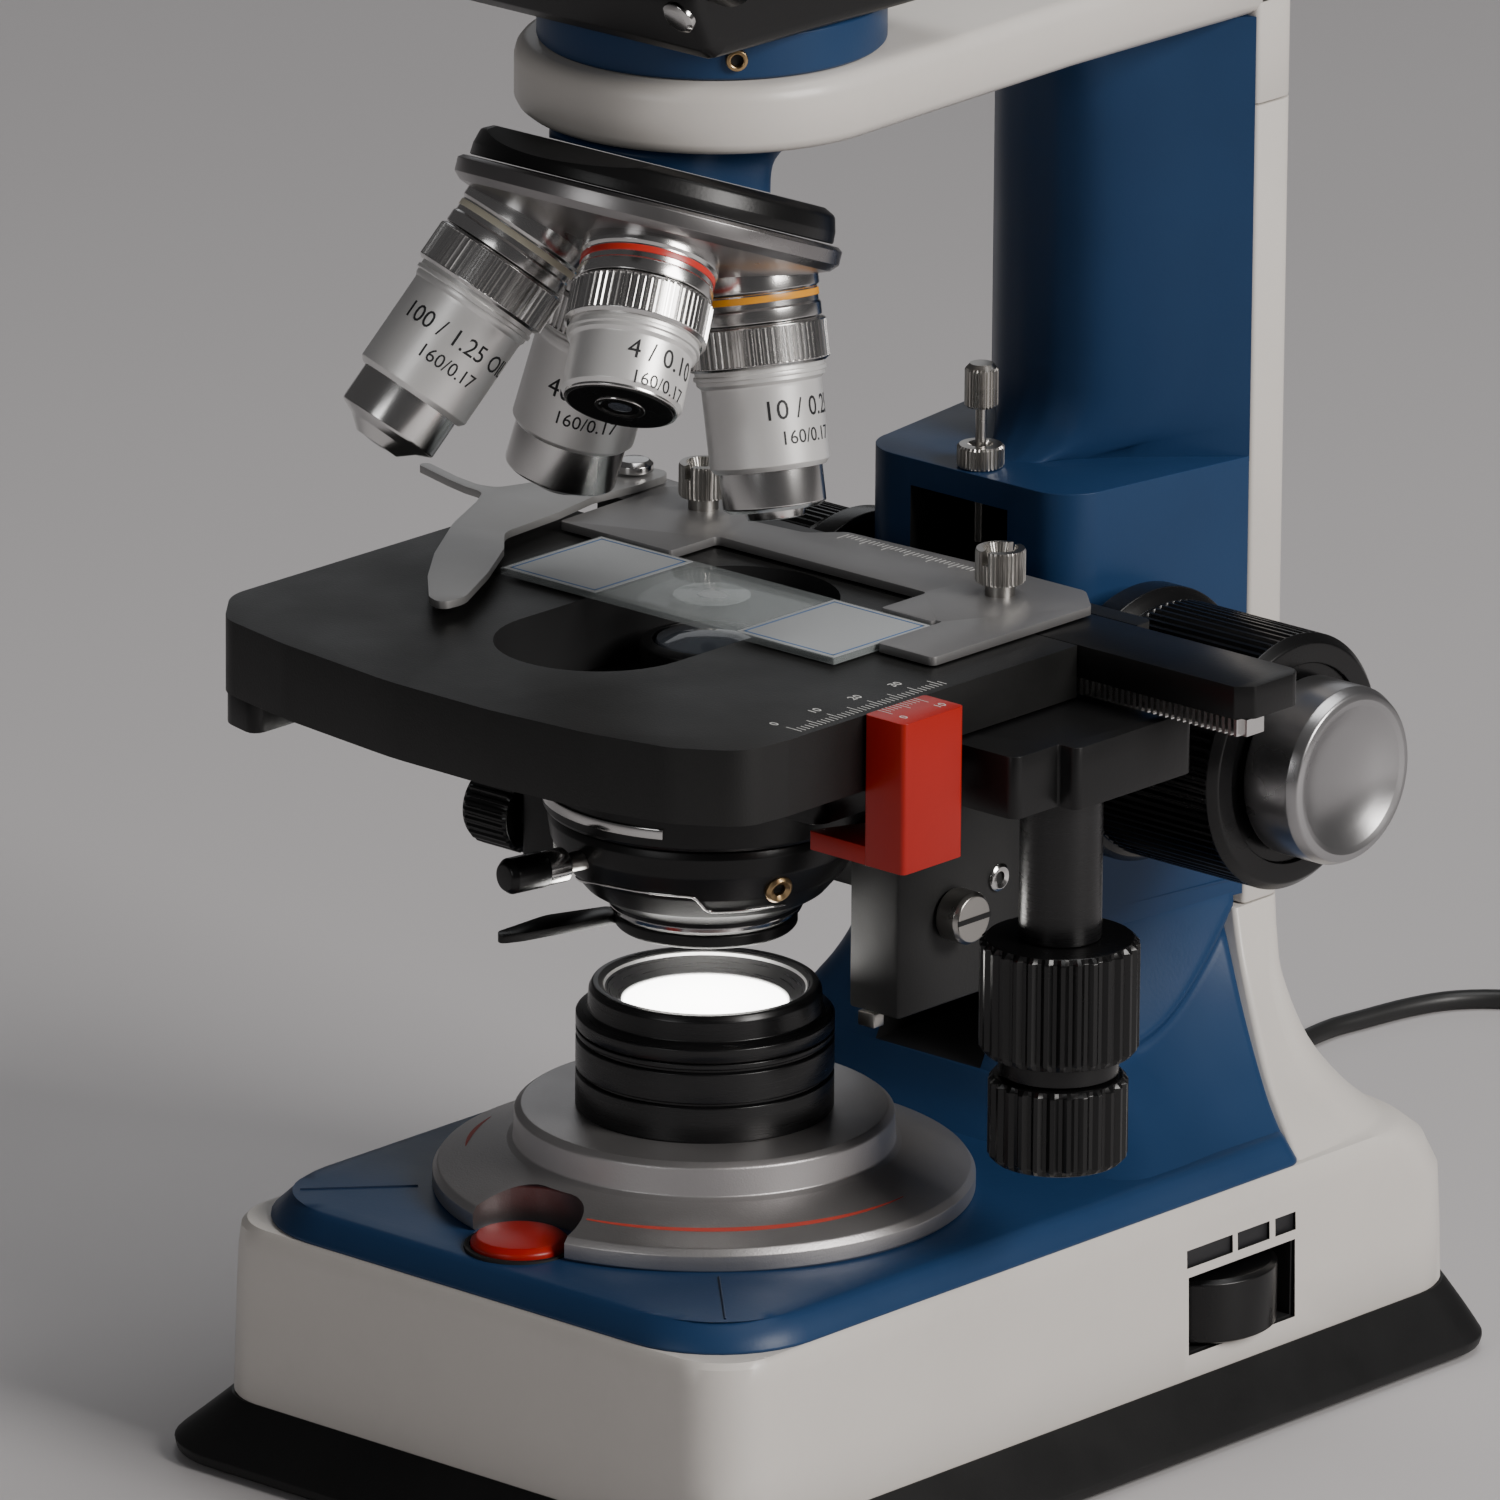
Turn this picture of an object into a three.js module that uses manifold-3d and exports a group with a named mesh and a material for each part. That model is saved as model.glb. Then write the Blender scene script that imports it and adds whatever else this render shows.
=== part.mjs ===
// Binocular laboratory microscope, built as separate pieces. Units are millimetres, +Z is up.
// The origin is on the optical axis at the floor, the user sits towards -Y, the arm stands at +Y.
import * as THREE from 'three';
import { ConvexGeometry } from 'three/addons/geometries/ConvexGeometry.js';
import { mergeVertices } from 'three/addons/utils/BufferGeometryUtils.js';
import Module from 'manifold-3d';

const wasm = await Module();
wasm.setup();

// ---- driving dimensions -------------------------------------------------------------------------
const GAP = 0.3;                 // clearance between pieces that rest on each other
const BASE_HX = 58.5;            // half width of the base shell
const BASE_Y0 = -59;             // front of the base shell
const BASE_Y1 = 133.5;           // back of the base shell
const RIM_Z = 42.3;              // top of the white rim
const PANEL_Z = 47;              // top of the blue panel
const COLUMN_HX = 24.8;          // half width of the column at its front
const BLOCK_Y = 65;              // front of the focusing block
const BLOCK_Z = 159.3;           // top of the focusing block
const BULGE_Y = 84;              // front of the upper column
const SPINE_Y0 = 106;            // seam between the column and the rear spine
const SPINE_Y1 = 116.5;          // back of the rear spine
const SPINE_HX = 29.6;           // half width of the rear spine
const ARM_Z0 = 237.5;            // underside of the arm
const ARM_Z1 = 249.4;            // top of the arm
const ARM_R = 33;                // radius of the arm's round front end
const TURRET_TILT = 20.6 * Math.PI / 180;  // nosepiece axis from the vertical
const TURRET_APEX = 263.4;       // height where all the objective axes meet
const TURRET_TURN = 43.2;        // how far the 10x objective stands from the optical axis, degrees
const SEAT = 54.8;               // distance from the apex to an objective's seat
const HEAD_Z = 257.5;            // underside of the binocular head
const HEAD_TILT = 30 * Math.PI / 180;      // eyetubes above the horizontal
const HEAD_PIVOT = [0, -32, 283];          // a point on the axis the eyetubes swing about
const TUBE_OFFSET = 31;          // eyetube axis from the swing axis
const STAGE_Z = 150.5;           // stage surface
const BAR_Y = [24.6, 39.4];      // slide bar, front and back
const HOLDER_Z = [150.9, 152.4]; // slide holder plate
const FOCUS = { y: 75, z: 119.5 };         // focus shaft axis, along X
const STOP_AT = [-0.2, 69.6];    // focus stop screw, along Z
const POST = { x: 68, y: 13 };   // stage control axis, along Z
const CONDENSER_R = 27.8;        // condenser holder ring
const LEAD_R = 1.75;             // lamp supply lead
const BUTTON_AT = [-1.5, -44.5]; // power button axis, along Z
const COIL = { x: 6, y: 302, r: 20 };      // where the spare lead lies wound up

// ---- helpers ------------------------------------------------------------------------------------
const COLOURS = {
  white: [0xf0efec, 0.45, 0], blue: [0x2a62b4, 0.5, 0], black: [0x1b1b1d, 0.5, 0],
  dark: [0x2a2a2b, 0.6, 0], satin: [0xc8c8ca, 0.35, 0.9], chrome: [0xdcdcde, 0.12, 1],
  brass: [0xb08a58, 0.35, 1], red: [0xd8281a, 0.4, 0], glass: [0xeaf2f2, 0.08, 0],
  paper: [0xf4f4f2, 0.7, 0],
};
const group = new THREE.Group();
group.name = 'microscope';

function add(name, colour, geometry) {
  const [hex, roughness, metalness] = COLOURS[colour];
  const mesh = new THREE.Mesh(geometry, new THREE.MeshStandardMaterial({ color: hex, roughness, metalness }));
  mesh.name = name;
  group.add(mesh);
}

function toSolid(geometry) {
  const g = geometry.clone();
  g.deleteAttribute('normal');
  g.deleteAttribute('uv');
  const m = mergeVertices(g, 1e-4);
  const mesh = new wasm.Mesh({
    numProp: 3,
    vertProperties: new Float32Array(m.attributes.position.array),
    triVerts: new Uint32Array(m.index.array),
  });
  mesh.merge();
  return new wasm.Manifold(mesh);
}

function toGeometry(solid) {
  const mesh = solid.getMesh();
  const g = new THREE.BufferGeometry();
  g.setAttribute('position', new THREE.BufferAttribute(new Float32Array(mesh.vertProperties), 3));
  g.setIndex(new THREE.BufferAttribute(new Uint32Array(mesh.triVerts), 1));
  g.computeVertexNormals();
  return g;
}

const join = (...parts) => toGeometry(parts.map(toSolid).reduce((a, b) => a.add(b)));
const cut = (body, ...tools) => toGeometry(tools.map(toSolid).reduce((a, b) => a.subtract(b), toSolid(body)));
const common = (a, b) => toGeometry(toSolid(a).intersect(toSolid(b)));

function box(x0, x1, y0, y1, z0, z1) {
  const g = new THREE.BoxGeometry(x1 - x0, y1 - y0, z1 - z0);
  return g.translate((x0 + x1) / 2, (y0 + y1) / 2, (z0 + z1) / 2);
}

// Rounded rectangle outline as points, n points per corner; the back corners may have their own radius.
function roundRect(x0, x1, y0, y1, r, n = 4, back = r) {
  const pts = [];
  const corners = [
    [x1 - back, y1 - back, 0, back], [x0 + back, y1 - back, 90, back],
    [x0 + r, y0 + r, 180, r], [x1 - r, y0 + r, 270, r],
  ];
  for (const [cx, cy, a0, radius] of corners) {
    for (let i = 0; i < n; i++) {
      const a = (a0 + (90 * i) / (n - 1)) * Math.PI / 180;
      pts.push([cx + radius * Math.cos(a), cy + radius * Math.sin(a)]);
    }
  }
  return pts;
}

// Stack of horizontal sections {z, pts}; each layer is the hull of two neighbouring sections.
function stack(sections) {
  const layers = [];
  for (let i = 0; i + 1 < sections.length; i++) {
    const pts = [];
    for (const s of [sections[i], sections[i + 1]]) {
      for (const [x, y] of s.pts) pts.push(new THREE.Vector3(x, y, s.z));
    }
    layers.push(new ConvexGeometry(pts));
  }
  return layers.length > 1 ? join(...layers) : layers[0];
}

// Flat plate from an outline in the XY plane, with optional hole outlines.
function plate(points, z0, z1, holes = []) {
  const shape = new THREE.Shape(points.map(([x, y]) => new THREE.Vector2(x, y)));
  for (const h of holes) shape.holes.push(new THREE.Path(h.map(([x, y]) => new THREE.Vector2(x, y))));
  return new THREE.ExtrudeGeometry(shape, { depth: z1 - z0, bevelEnabled: false }).translate(0, 0, z0);
}

function circle(cx, cy, r, n = 24) {
  const pts = [];
  for (let i = 0; i < n; i++) {
    const a = (2 * Math.PI * i) / n;
    pts.push([cx + r * Math.cos(a), cy + r * Math.sin(a)]);
  }
  return pts;
}

// Solid of revolution about Z from [radius, z] pairs.
function turned(profile, segments = 28) {
  const g = new THREE.LatheGeometry(profile.map(([r, z]) => new THREE.Vector2(Math.max(r, 0), z)), segments);
  return g.rotateX(Math.PI / 2);
}

// Move a part made about Z so that its axis runs along dir from the point at.
function place(geometry, at, dir) {
  const q = new THREE.Quaternion().setFromUnitVectors(
    new THREE.Vector3(0, 0, 1), new THREE.Vector3(...dir).normalize());
  return geometry.applyQuaternion(q).translate(...at);
}

// ---- base ---------------------------------------------------------------------------------------
// Base outline grown outwards; the skirt flares less at the back than at the other sides.
function baseOutline(grow, r, backGrow = grow, back = 14) {
  return roundRect(-BASE_HX - grow, BASE_HX + grow, BASE_Y0 - grow, BASE_Y1 + backGrow, r, 4, back);
}

function bottomCover() {
  return plate(baseOutline(-5, 8), 0, 4);
}

function baseSkirt() {
  const outer = stack([
    { z: 0.6, pts: baseOutline(8.6, 15, 3.4, 20) },
    { z: 3.4, pts: baseOutline(9.6, 15, 4, 20) },
    { z: 6.8, pts: baseOutline(4.6, 11, 2, 17) },
    { z: 11, pts: baseOutline(1.2, 9, 1.2) },
  ]);
  return cut(outer, plate(baseOutline(-4.4, 8), 0, 12));
}

// Section of the white sweep that carries the spine: wide at its front, narrower at its back.
function sweepSection(z, frontHx, frontY, backHx, backY) {
  const side = [[frontHx, frontY], [backHx + 0.45 * (frontHx - backHx), backY - 8], [backHx, backY - 1.6],
    [backHx - 5, backY]];
  return { z, pts: [...side, ...side.map(([x, y]) => [-x, y])] };
}

function baseShell() {
  const rim = stack([
    { z: 11.3, pts: baseOutline(0.6, 9) },
    { z: 33, pts: baseOutline(0.2, 9) },
    { z: 39, pts: baseOutline(-0.2, 9, -3.5) },
    { z: RIM_Z, pts: baseOutline(-0.6, 9, -8, 17) },
  ]);
  const sweep = stack([
    { z: RIM_Z - 6, pts: roundRect(-58, 58, 80, BASE_Y1 - 4, 4, 4, 15) },
    { z: RIM_Z, pts: roundRect(-57.9, 57.9, 80, BASE_Y1 - 9, 4, 4, 17) },
    sweepSection(47, 53.2, 90, 42, 120), sweepSection(54, 45.4, 94, 36, 117.4),
    sweepSection(64, 37.2, 99, 31.2, 116.8), sweepSection(78.5, SPINE_HX, 103, SPINE_HX, SPINE_Y1),
  ]);
  const hollow = plate(roundRect(-54.5, 54.5, -55, BASE_Y1 - 6, 6, 4, 12), 10, RIM_Z - 8);
  const opening = plate(roundRect(-52.5, 52.5, -53, 82, 10), 30, 44);
  const window = box(50, 62, 58, 86, 15.5, 29.5);
  const jackHole = place(turned([[0, 0], [6.6, 0], [6.6, 20], [0, 20]], 20), [-30, 120, 26], [0, 1, 0]);
  return cut(join(rim, sweep), hollow, opening, panelSlab(GAP), columnFoot(GAP), window, jackHole);
}

// Flat part of the panel with its sloping edge; grow widens it to cut its own clearance.
function panelSlab(grow) {
  return stack([
    { z: RIM_Z + GAP - grow, pts: roundRect(-57.9 - grow, 57.9 + grow, -58.4 - grow, 90.2 + grow, 14, 4, 5) },
    { z: PANEL_Z + grow, pts: roundRect(-54.4 - grow, 54.4 + grow, -54.4 - grow, 90.2 + grow, 12, 4, 5) },
  ]);
}

// Blue column foot that grows out of the panel; grow widens it to cut its own clearance.
function columnFoot(grow) {
  const s = (z, hx, y0, y1, r) => ({ z, pts: roundRect(-hx - grow, hx + grow, y0 - grow, y1 + grow, r) });
  return stack([
    s(PANEL_Z - 1, 53.6, 47, 91, 8), s(51, 48, 55, 93.6, 8), s(60, 40, 60, 98.2, 8),
    s(69, 33.8, 62.8, 102, 7), s(80.5, 29.2, BLOCK_Y, 105.2, 6),
  ]);
}

// Half space above or below the sloping seam between the panel's foot and the column.
function seamHalf(above) {
  const h = new THREE.BoxGeometry(160, 160, 80);
  h.translate(0, 0, above ? 40 + GAP / 2 : -40 - GAP / 2);
  return h.rotateX(0.42).translate(0, 82, 70);
}

function basePanel() {
  const foot = common(columnFoot(0), seamHalf(false));
  const slot = box(-13, 11, 60, 97, 60, 90);
  const lampHole = plate(circle(0, 0, 20), 40, 50);
  const buttonHole = plate(circle(...BUTTON_AT, 8.8), 40, 50);
  return cut(join(panelSlab(0), foot), slot, lampHole, buttonHole);
}

// ---- column, spine and arm ----------------------------------------------------------------------
// Outline of the focusing block: rounded at the front, widening to the spine at the back.
function blockOutline(inset) {
  const front = roundRect(-COLUMN_HX + inset, COLUMN_HX - inset, BLOCK_Y + inset, BLOCK_Y + 20, 7)
    .filter(([, y]) => y < BLOCK_Y + 10);
  return [...front, [-29.4 + inset, SPINE_Y0 - GAP], [29.4 - inset, SPINE_Y0 - GAP]];
}

function column() {
  const lower = stack([
    { z: 80.4, pts: blockOutline(0) },
    { z: BLOCK_Z - 2, pts: blockOutline(0) },
    { z: BLOCK_Z, pts: blockOutline(1.2) },
  ]);
  const foot = common(columnFoot(0), seamHalf(true));
  const side = [[29.4, SPINE_Y0 - GAP], [24, 99.8], [17, 92], [11, 86.6], [5, 84.4]];
  const bulge = [...side, [0, BULGE_Y], ...side.map(([x, y]) => [-x, y]).reverse()];
  const upper = plate(bulge, BLOCK_Z - 3, ARM_Z0 - GAP);
  const slot = box(-12, 10, 60, 97, 74, 154.5);
  const footSlot = box(-13, 11, 60, 97, 60, 90);
  const stopHole = plate(circle(...STOP_AT, 2.2, 12), 150, 166);
  return cut(join(lower, foot, upper), slot, footSlot, stopHole);
}

function rearSpine() {
  return plate(roundRect(-SPINE_HX, SPINE_HX, SPINE_Y0, SPINE_Y1, 3.5), 78.5 + GAP, 221.5);
}

function armCap() {
  const outline = [];
  for (let i = 0; i <= 14; i++) {
    const a = Math.PI + (Math.PI * i) / 14;
    outline.push([ARM_R * Math.cos(a), ARM_R * Math.sin(a)]);
  }
  const flat = (z, inset) => {
    const k = (ARM_R - inset) / ARM_R;
    const pts = outline.map(([x, y]) => [x * k, y * k]);
    pts.push([SPINE_HX - inset, SPINE_Y1 - inset], [-SPINE_HX + inset, SPINE_Y1 - inset]);
    return { z, pts };
  };
  const arm = stack([flat(ARM_Z0, 1.6), flat(ARM_Z0 + 2, 0), flat(ARM_Z1 - 3, 0), flat(ARM_Z1, 2.2)]);
  const heel = plate(roundRect(-SPINE_HX, SPINE_HX, SPINE_Y0, SPINE_Y1, 3.5), 221.5 + GAP, ARM_Z0 + 4);
  return join(arm, heel);
}

// ---- nosepiece ----------------------------------------------------------------------------------
const turretAxis = [0, -Math.sin(TURRET_TILT), -Math.cos(TURRET_TILT)];
const apex = [0, 0, TURRET_APEX];

function nosepieceBoss() {
  const pts = circle(0, -2, 25, 28).map(([x, y]) => new THREE.Vector3(x, y, ARM_Z0 - GAP));
  const low = new THREE.CylinderGeometry(19, 19, 0.4, 28).rotateX(Math.PI / 2);
  place(low, [0, turretAxis[1] * 35.9, TURRET_APEX + turretAxis[2] * 35.9], turretAxis);
  const p = low.attributes.position;
  for (let i = 0; i < p.count; i++) {
    const v = new THREE.Vector3().fromBufferAttribute(p, i);
    if (v.z < ARM_Z0 - GAP) pts.push(v);
  }
  return new ConvexGeometry(pts);
}

function turretCap() {
  const g = turned([[0, 36.4], [28.6, 36.4], [30.6, 37.6], [31.2, 42], [0, 42]], 40);
  const tilted = place(g, apex, turretAxis);
  return cut(tilted, box(-60, 60, -60, 60, ARM_Z0 - GAP, ARM_Z0 + 40));
}

function turretPlate() {
  const g = turned([[0, 42.3], [31.6, 42.3], [33, 43.4], [33, 45.6], [32.2, 46.2], [8, 55.2], [0, 56]], 40);
  return place(g, apex, turretAxis);
}

// Direction of an objective that stands turn degrees round from the optical axis.
function objectiveAxis(turn) {
  const t = turn * Math.PI / 180;
  const s = Math.sin(TURRET_TILT);
  const c = Math.cos(TURRET_TILT);
  return [s * Math.sin(t), -s * c + s * c * Math.cos(t), -c * c - s * s * Math.cos(t)];
}

// Objective profile: neck, knurled ring, step, barrel, nose, tip. All lengths from the seat.
function objective(barrelEnd, barrelR, nose, turn) {
  const profile = [
    [0, 0], [11.4, 0], [11.4, 6.8], [12, 7.1], [12, 13.8], [11, 14.4], [11, 17],
    [barrelR, 17.3], [barrelR, barrelEnd - 0.8], [barrelR - 0.8, barrelEnd],
  ];
  for (const [r, z] of nose) profile.push([r, z]);
  profile.push([0, profile[profile.length - 1][1]]);
  const axis = objectiveAxis(turn);
  return place(turned(profile, 24), apex.map((v, i) => v + axis[i] * SEAT), axis);
}

// ---- binocular head -----------------------------------------------------------------------------
function headRing() {
  return turned([[0, ARM_Z1 + GAP], [29.3, ARM_Z1 + GAP], [29.3, HEAD_Z - GAP], [0, HEAD_Z - GAP]], 36);
}

function headSetScrew() {
  const a = -40 * Math.PI / 180;
  const at = [29.7 * Math.cos(a), 29.7 * Math.sin(a), 253.2];
  return place(turned([[0, 0], [1.9, 0], [1.9, 1], [0, 1]], 12), at, [Math.cos(a), Math.sin(a), 0]);
}

const eyeAxis = [0, -Math.cos(HEAD_TILT), Math.sin(HEAD_TILT)];

function headBody() {
  const profile = [
    [-33, HEAD_Z], [27, HEAD_Z], [31, HEAD_Z + 4], [31, 290], [26, 297], [4, 300], [-16, 300],
    [-23.6, 297.6], [-40.2, 268.8], [-38, HEAD_Z + 1.6],
  ];
  const shape = new THREE.Shape(profile.map(([y, z]) => new THREE.Vector2(y, z)));
  const g = new THREE.ExtrudeGeometry(shape, {
    depth: 59.4, bevelEnabled: true, bevelThickness: 1.5, bevelSize: 1.5, bevelOffset: -1.5, bevelSegments: 1,
  });
  g.translate(0, 0, -29.7);
  // the profile was drawn flat: its x becomes +Y, its y becomes +Z and its depth +X
  return g.applyMatrix4(new THREE.Matrix4().makeBasis(
    new THREE.Vector3(0, 1, 0), new THREE.Vector3(0, 0, 1), new THREE.Vector3(1, 0, 0)));
}

const onEyeAxis = (along, side = 0) => [side, HEAD_PIVOT[1] + eyeAxis[1] * along, HEAD_PIVOT[2] + eyeAxis[2] * along];

// Prism housing: a block on the head's sloping face with its eyetube, one each side.
function prismHousing(side) {
  const near = side * 0.8;
  const far = side * (TUBE_OFFSET + 16);
  const pts = [];
  for (const [x, up] of [[near, -14], [near, 14], [far, -12], [far, 12], [far - side * 5, 16], [far - side * 5, -16]]) {
    for (const along of [0.6, 17]) {
      const shrink = along > 10 && Math.abs(x) > 30 ? 0.94 : 1;
      const p = onEyeAxis(along, x * shrink);
      pts.push(new THREE.Vector3(p[0], p[1] + Math.sin(HEAD_TILT) * up, p[2] + Math.cos(HEAD_TILT) * up));
    }
  }
  const housing = new ConvexGeometry(pts);
  const tube = place(turned([[0, 0], [13.4, 0], [13.4, 4], [12.2, 5], [12.2, 26], [0, 26]], 24),
    onEyeAxis(14, side * TUBE_OFFSET), eyeAxis);
  return join(housing, tube);
}

function eyepiece(side, start) {
  const z0 = start + GAP;
  return place(turned([
    [0, z0], [14.4, z0], [15, z0 + 1], [15, z0 + 12], [17, z0 + 14], [17, z0 + 20], [14, z0 + 22],
    [13, z0 + 19.5], [0, z0 + 19.5],
  ], 24), onEyeAxis(0, side * TUBE_OFFSET), eyeAxis);
}

function diopterRing() {
  return place(turned([[0, 40.3], [14, 40.3], [14.8, 41], [14.8, 47], [14, 47.7], [0, 47.7]], 24),
    onEyeAxis(0, -TUBE_OFFSET), eyeAxis);
}

// ---- lamp ---------------------------------------------------------------------------------------
function lampFlange() {
  const disc = turned([
    [0, PANEL_Z + GAP], [46.2, PANEL_Z + GAP], [46.2, 50.4], [45.4, 51], [33.2, 55], [32.4, 55.4], [32.4, 61],
    [31.8, 61.6], [0, 61.6],
  ], 44);
  return cut(disc, plate(circle(...BUTTON_AT, 10.8), 40, 54.9));
}

function lampCollar() {
  const z = 61.6 + GAP;
  return turned([
    [0, z], [22, z], [22, 68], [21.5, 68.3], [22, 68.6], [22, 74.1], [21.5, 74.4], [22, 74.7], [22, 75.6],
    [18, 75.6], [18, 78], [0, 78],
  ], 40);
}

function fieldRing() {
  return turned([
    [18.3, 75.9], [22, 75.9], [22, 79.9], [21.6, 80.2], [22, 80.5], [22, 82], [19.8, 83.6], [18.6, 83.4],
    [14.2, 80.6], [14.2, 78.3], [18.3, 78.3], [18.3, 75.9],
  ], 40);
}

function fieldLens() {
  return turned([[0, 78.3], [13.9, 78.3], [13.9, 80], [12, 80.8], [8, 81.6], [0, 82]], 32);
}

function powerButton() {
  return turned([[0, 44.6], [8.4, 44.6], [8.4, 47.9], [7.6, 48.9], [0, 49.3]], 28).translate(...BUTTON_AT, 0);
}

function dimmerWheel() {
  return turned([[0, 16], [13.2, 16], [14.4, 17], [14.4, 26.6], [13.2, 27.6], [0, 27.6]], 30)
    .translate(48.3, 72, 0);
}

function dcJack() {
  const body = turned([[3.2, 0], [6.2, 0], [6.2, 10.6], [3.2, 10.6], [3.2, 0]], 24);
  return place(body, [-30, BASE_Y1 - 10, 26], [0, 1, 0]);
}

// ---- focusing -----------------------------------------------------------------------------------
function coarseKnob(side) {
  const x0 = 29.8;
  const x1 = side > 0 ? 68.8 : 58;
  const profile = [
    [0, x0], [23, x0], [24, x0 + 1], [24, x0 + 5], [23, x0 + 6], [21.4, x0 + 6.6], [22.3, x0 + 8],
    [22.3, x1 - 2.4], [21.2, x1 - 1.4], [0, x1 - 1.4],
  ];
  return place(turned(profile, 36), [0, FOCUS.y, FOCUS.z], [side, 0, 0]);
}

function fineKnob(side) {
  const x1 = side > 0 ? 67.3 : 56.5;
  const profile = [
    [0, x1 + 0.4], [15.3, x1 + 0.4], [15.5, x1 + 2], [15.5, x1 + 11], [14.4, x1 + 12.2], [13, x1 + 12],
    [11, x1 + 10.6], [0, x1 + 9.6],
  ];
  return place(turned(profile, 32), [0, FOCUS.y, FOCUS.z], [side, 0, 0]);
}

function stopScrew() {
  return turned([
    [0, 146], [1.5, 146], [1.5, 170], [3.1, 170.3], [3.2, 176], [2.2, 177.4], [0, 177.8],
  ], 20).translate(...STOP_AT, 0);
}

function stopNut() {
  return turned([
    [1.8, BLOCK_Z + GAP], [4.1, BLOCK_Z + GAP], [4.1, 163.6], [3.4, 164.2], [1.8, 164.2], [1.8, BLOCK_Z + GAP],
  ], 24).translate(...STOP_AT, 0);
}

// ---- stage --------------------------------------------------------------------------------------
function stageBracket() {
  const dovetail = box(-10, 8, 62, 67.4, 92, 136);
  const shelf = box(-10, 8, 40, 63, 121, 128);
  const wings = box(-40, 40, 34, 47.5, 121, 128);
  const rail = box(-9, 7, 36, 46, 92, 122);
  return join(dovetail, shelf, wings, rail);
}

function stageBase() {
  const slab = box(-48, 50, -28, 47.5, 128 + GAP, 136.6);
  const well = plate(circle(0, 0, 29.5, 32), 120, 140);
  const block = plate([[46, -7], [75, -7], [75, 4], [79, 4], [79, 34], [46, 34]], 130, 140.8);
  const post = turned([[0, 104], [7, 104], [7, 131], [0, 131]], 24).translate(POST.x, POST.y, 0);
  return join(cut(slab, well), block, post);
}

function vernierBlock() {
  const x0 = 61.6;
  const body = [[x0, -29.6], [70.4, -29.6], [70.4, -14.6], [x0, -14.6]];
  const tall = plate(body, 124.6, STAGE_Z + 0.3);
  const foot = plate([[50.4, -27.5], [x0 + 1, -29.6], [x0 + 1, -14.6], [50.4, -16.5]], 124.6, 128);
  return join(tall, foot);
}

function stageTop() {
  const half = [
    [-61.5, 44], [-61.5, -50], [-59.5, -56.5], [-55, -61.4], [-48, -63.4], [-36, -66], [-9, -69.4],
    [13.7, -69.6], [35, -67.8], [47, -65.2], [56.5, -60.6], [60.2, -55], [61.2, -48], [61.2, 44],
  ];
  const inset = (d) => half.map(([x, y]) => [x * (1 - d / 62), y > 0 ? y : y * (1 - d / 66)]);
  const slab = stack([{ z: 137.4, pts: half }, { z: 147, pts: half }, { z: 149.6, pts: inset(1.2) },
    { z: STAGE_Z, pts: inset(3) }]);
  const opening = [];
  for (const [cy, start] of [[-28.5, Math.PI], [6, 0]]) {
    for (let i = 0; i <= 12; i++) {
      const a = start + (Math.PI * i) / 12;
      opening.push([1 + 17.6 * Math.cos(a), cy + 17.6 * Math.sin(a)]);
    }
  }
  const bar = box(-90, 90, BAR_Y[0] - GAP, BAR_Y[1] + GAP, 144.6, 160);
  const rackWay = box(-90, 90, BAR_Y[0] - GAP, 31, 141.4, 150);
  const rightRelief = box(45, 80, -18, 60, 130, 141.4);
  return cut(slab, plate(opening, 130, 160), bar, rackWay, rightRelief);
}

function barBlank() {
  return plate([[-42, BAR_Y[0]], [95.5, BAR_Y[0]], [98, BAR_Y[0] + 2.5], [98, BAR_Y[1]], [-42, BAR_Y[1]]], 144.9, 150.5);
}

function rack() {
  const teeth = [];
  for (let x = 46; x < 96; x += 2) teeth.push([x, BAR_Y[0] + 0.2], [x + 1, BAR_Y[0] + 0.2], [x + 1, 25.6], [x + 2, 25.6]);
  return plate([...teeth, [97.5, 25.6], [97.5, 30.4], [46, 30.4]], 141.8, 144.6);
}

function slideHolder() {
  const outline = [
    [40, -2.2], [52.4, -2.2], [52.4, 38], [46, 44], [29, 44], [-6, 42], [-11, 36.8], [-23, 35.6],
    [-27, 42], [-42, 46], [-47, 40], [-46, 13.2], [-20.5, 13.2], [-20.5, 25], [27.2, 25], [27.2, 13.2],
    [38.4, 13.2], [38.4, 14.2], [40, 14.2],
  ];
  return plate(outline, ...HOLDER_Z);
}

function thumbScrew(x, y) {
  const z = HOLDER_Z[1] + 0.2;
  return turned([[0, z], [2.6, z], [2.6, z + 2], [4.3, z + 2.4], [4.3, z + 7.4], [3.6, z + 8], [0, z + 7.6]], 24)
    .translate(x, y, 0);
}

function specimenSlide() {
  return box(-36, 39.6, -12.6, 12.8, STAGE_Z + GAP, 151.9);
}

function slideFinger() {
  const outline = [
    [-56, 44], [-48, 44], [-47.5, 36], [-48, 24], [-46, 13], [-44.8, -2], [-38.4, -9], [-31, -21], [-23.8, -35],
    [-24.4, -39.4], [-28.6, -38], [-37, -29], [-45.2, -19], [-54.8, -4], [-63, 12], [-66.5, 18], [-75, 17],
    [-84.6, 20.5], [-83, 23.5], [-74, 21.5], [-66, 24], [-58, 34],
  ];
  return plate(outline, HOLDER_Z[1] + GAP, HOLDER_Z[1] + 1.8);
}

function fingerScrew() {
  const z = HOLDER_Z[1] + 1.8 + GAP;
  return turned([[0, z], [3.4, z], [3.4, z + 1.4], [2.6, z + 2], [0, z + 2.2]], 20).translate(-52.4, 39, 0);
}

// ---- stage controls, turned about the post ------------------------------------------------------
function yKnob() {
  return turned([
    [0, 80], [10.2, 80], [10.2, 83.4], [12.6, 83.8], [13.5, 85], [13.5, 102.6], [12.6, 103.6], [0, 103.6],
  ], 30).translate(POST.x, POST.y, 0);
}

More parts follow.
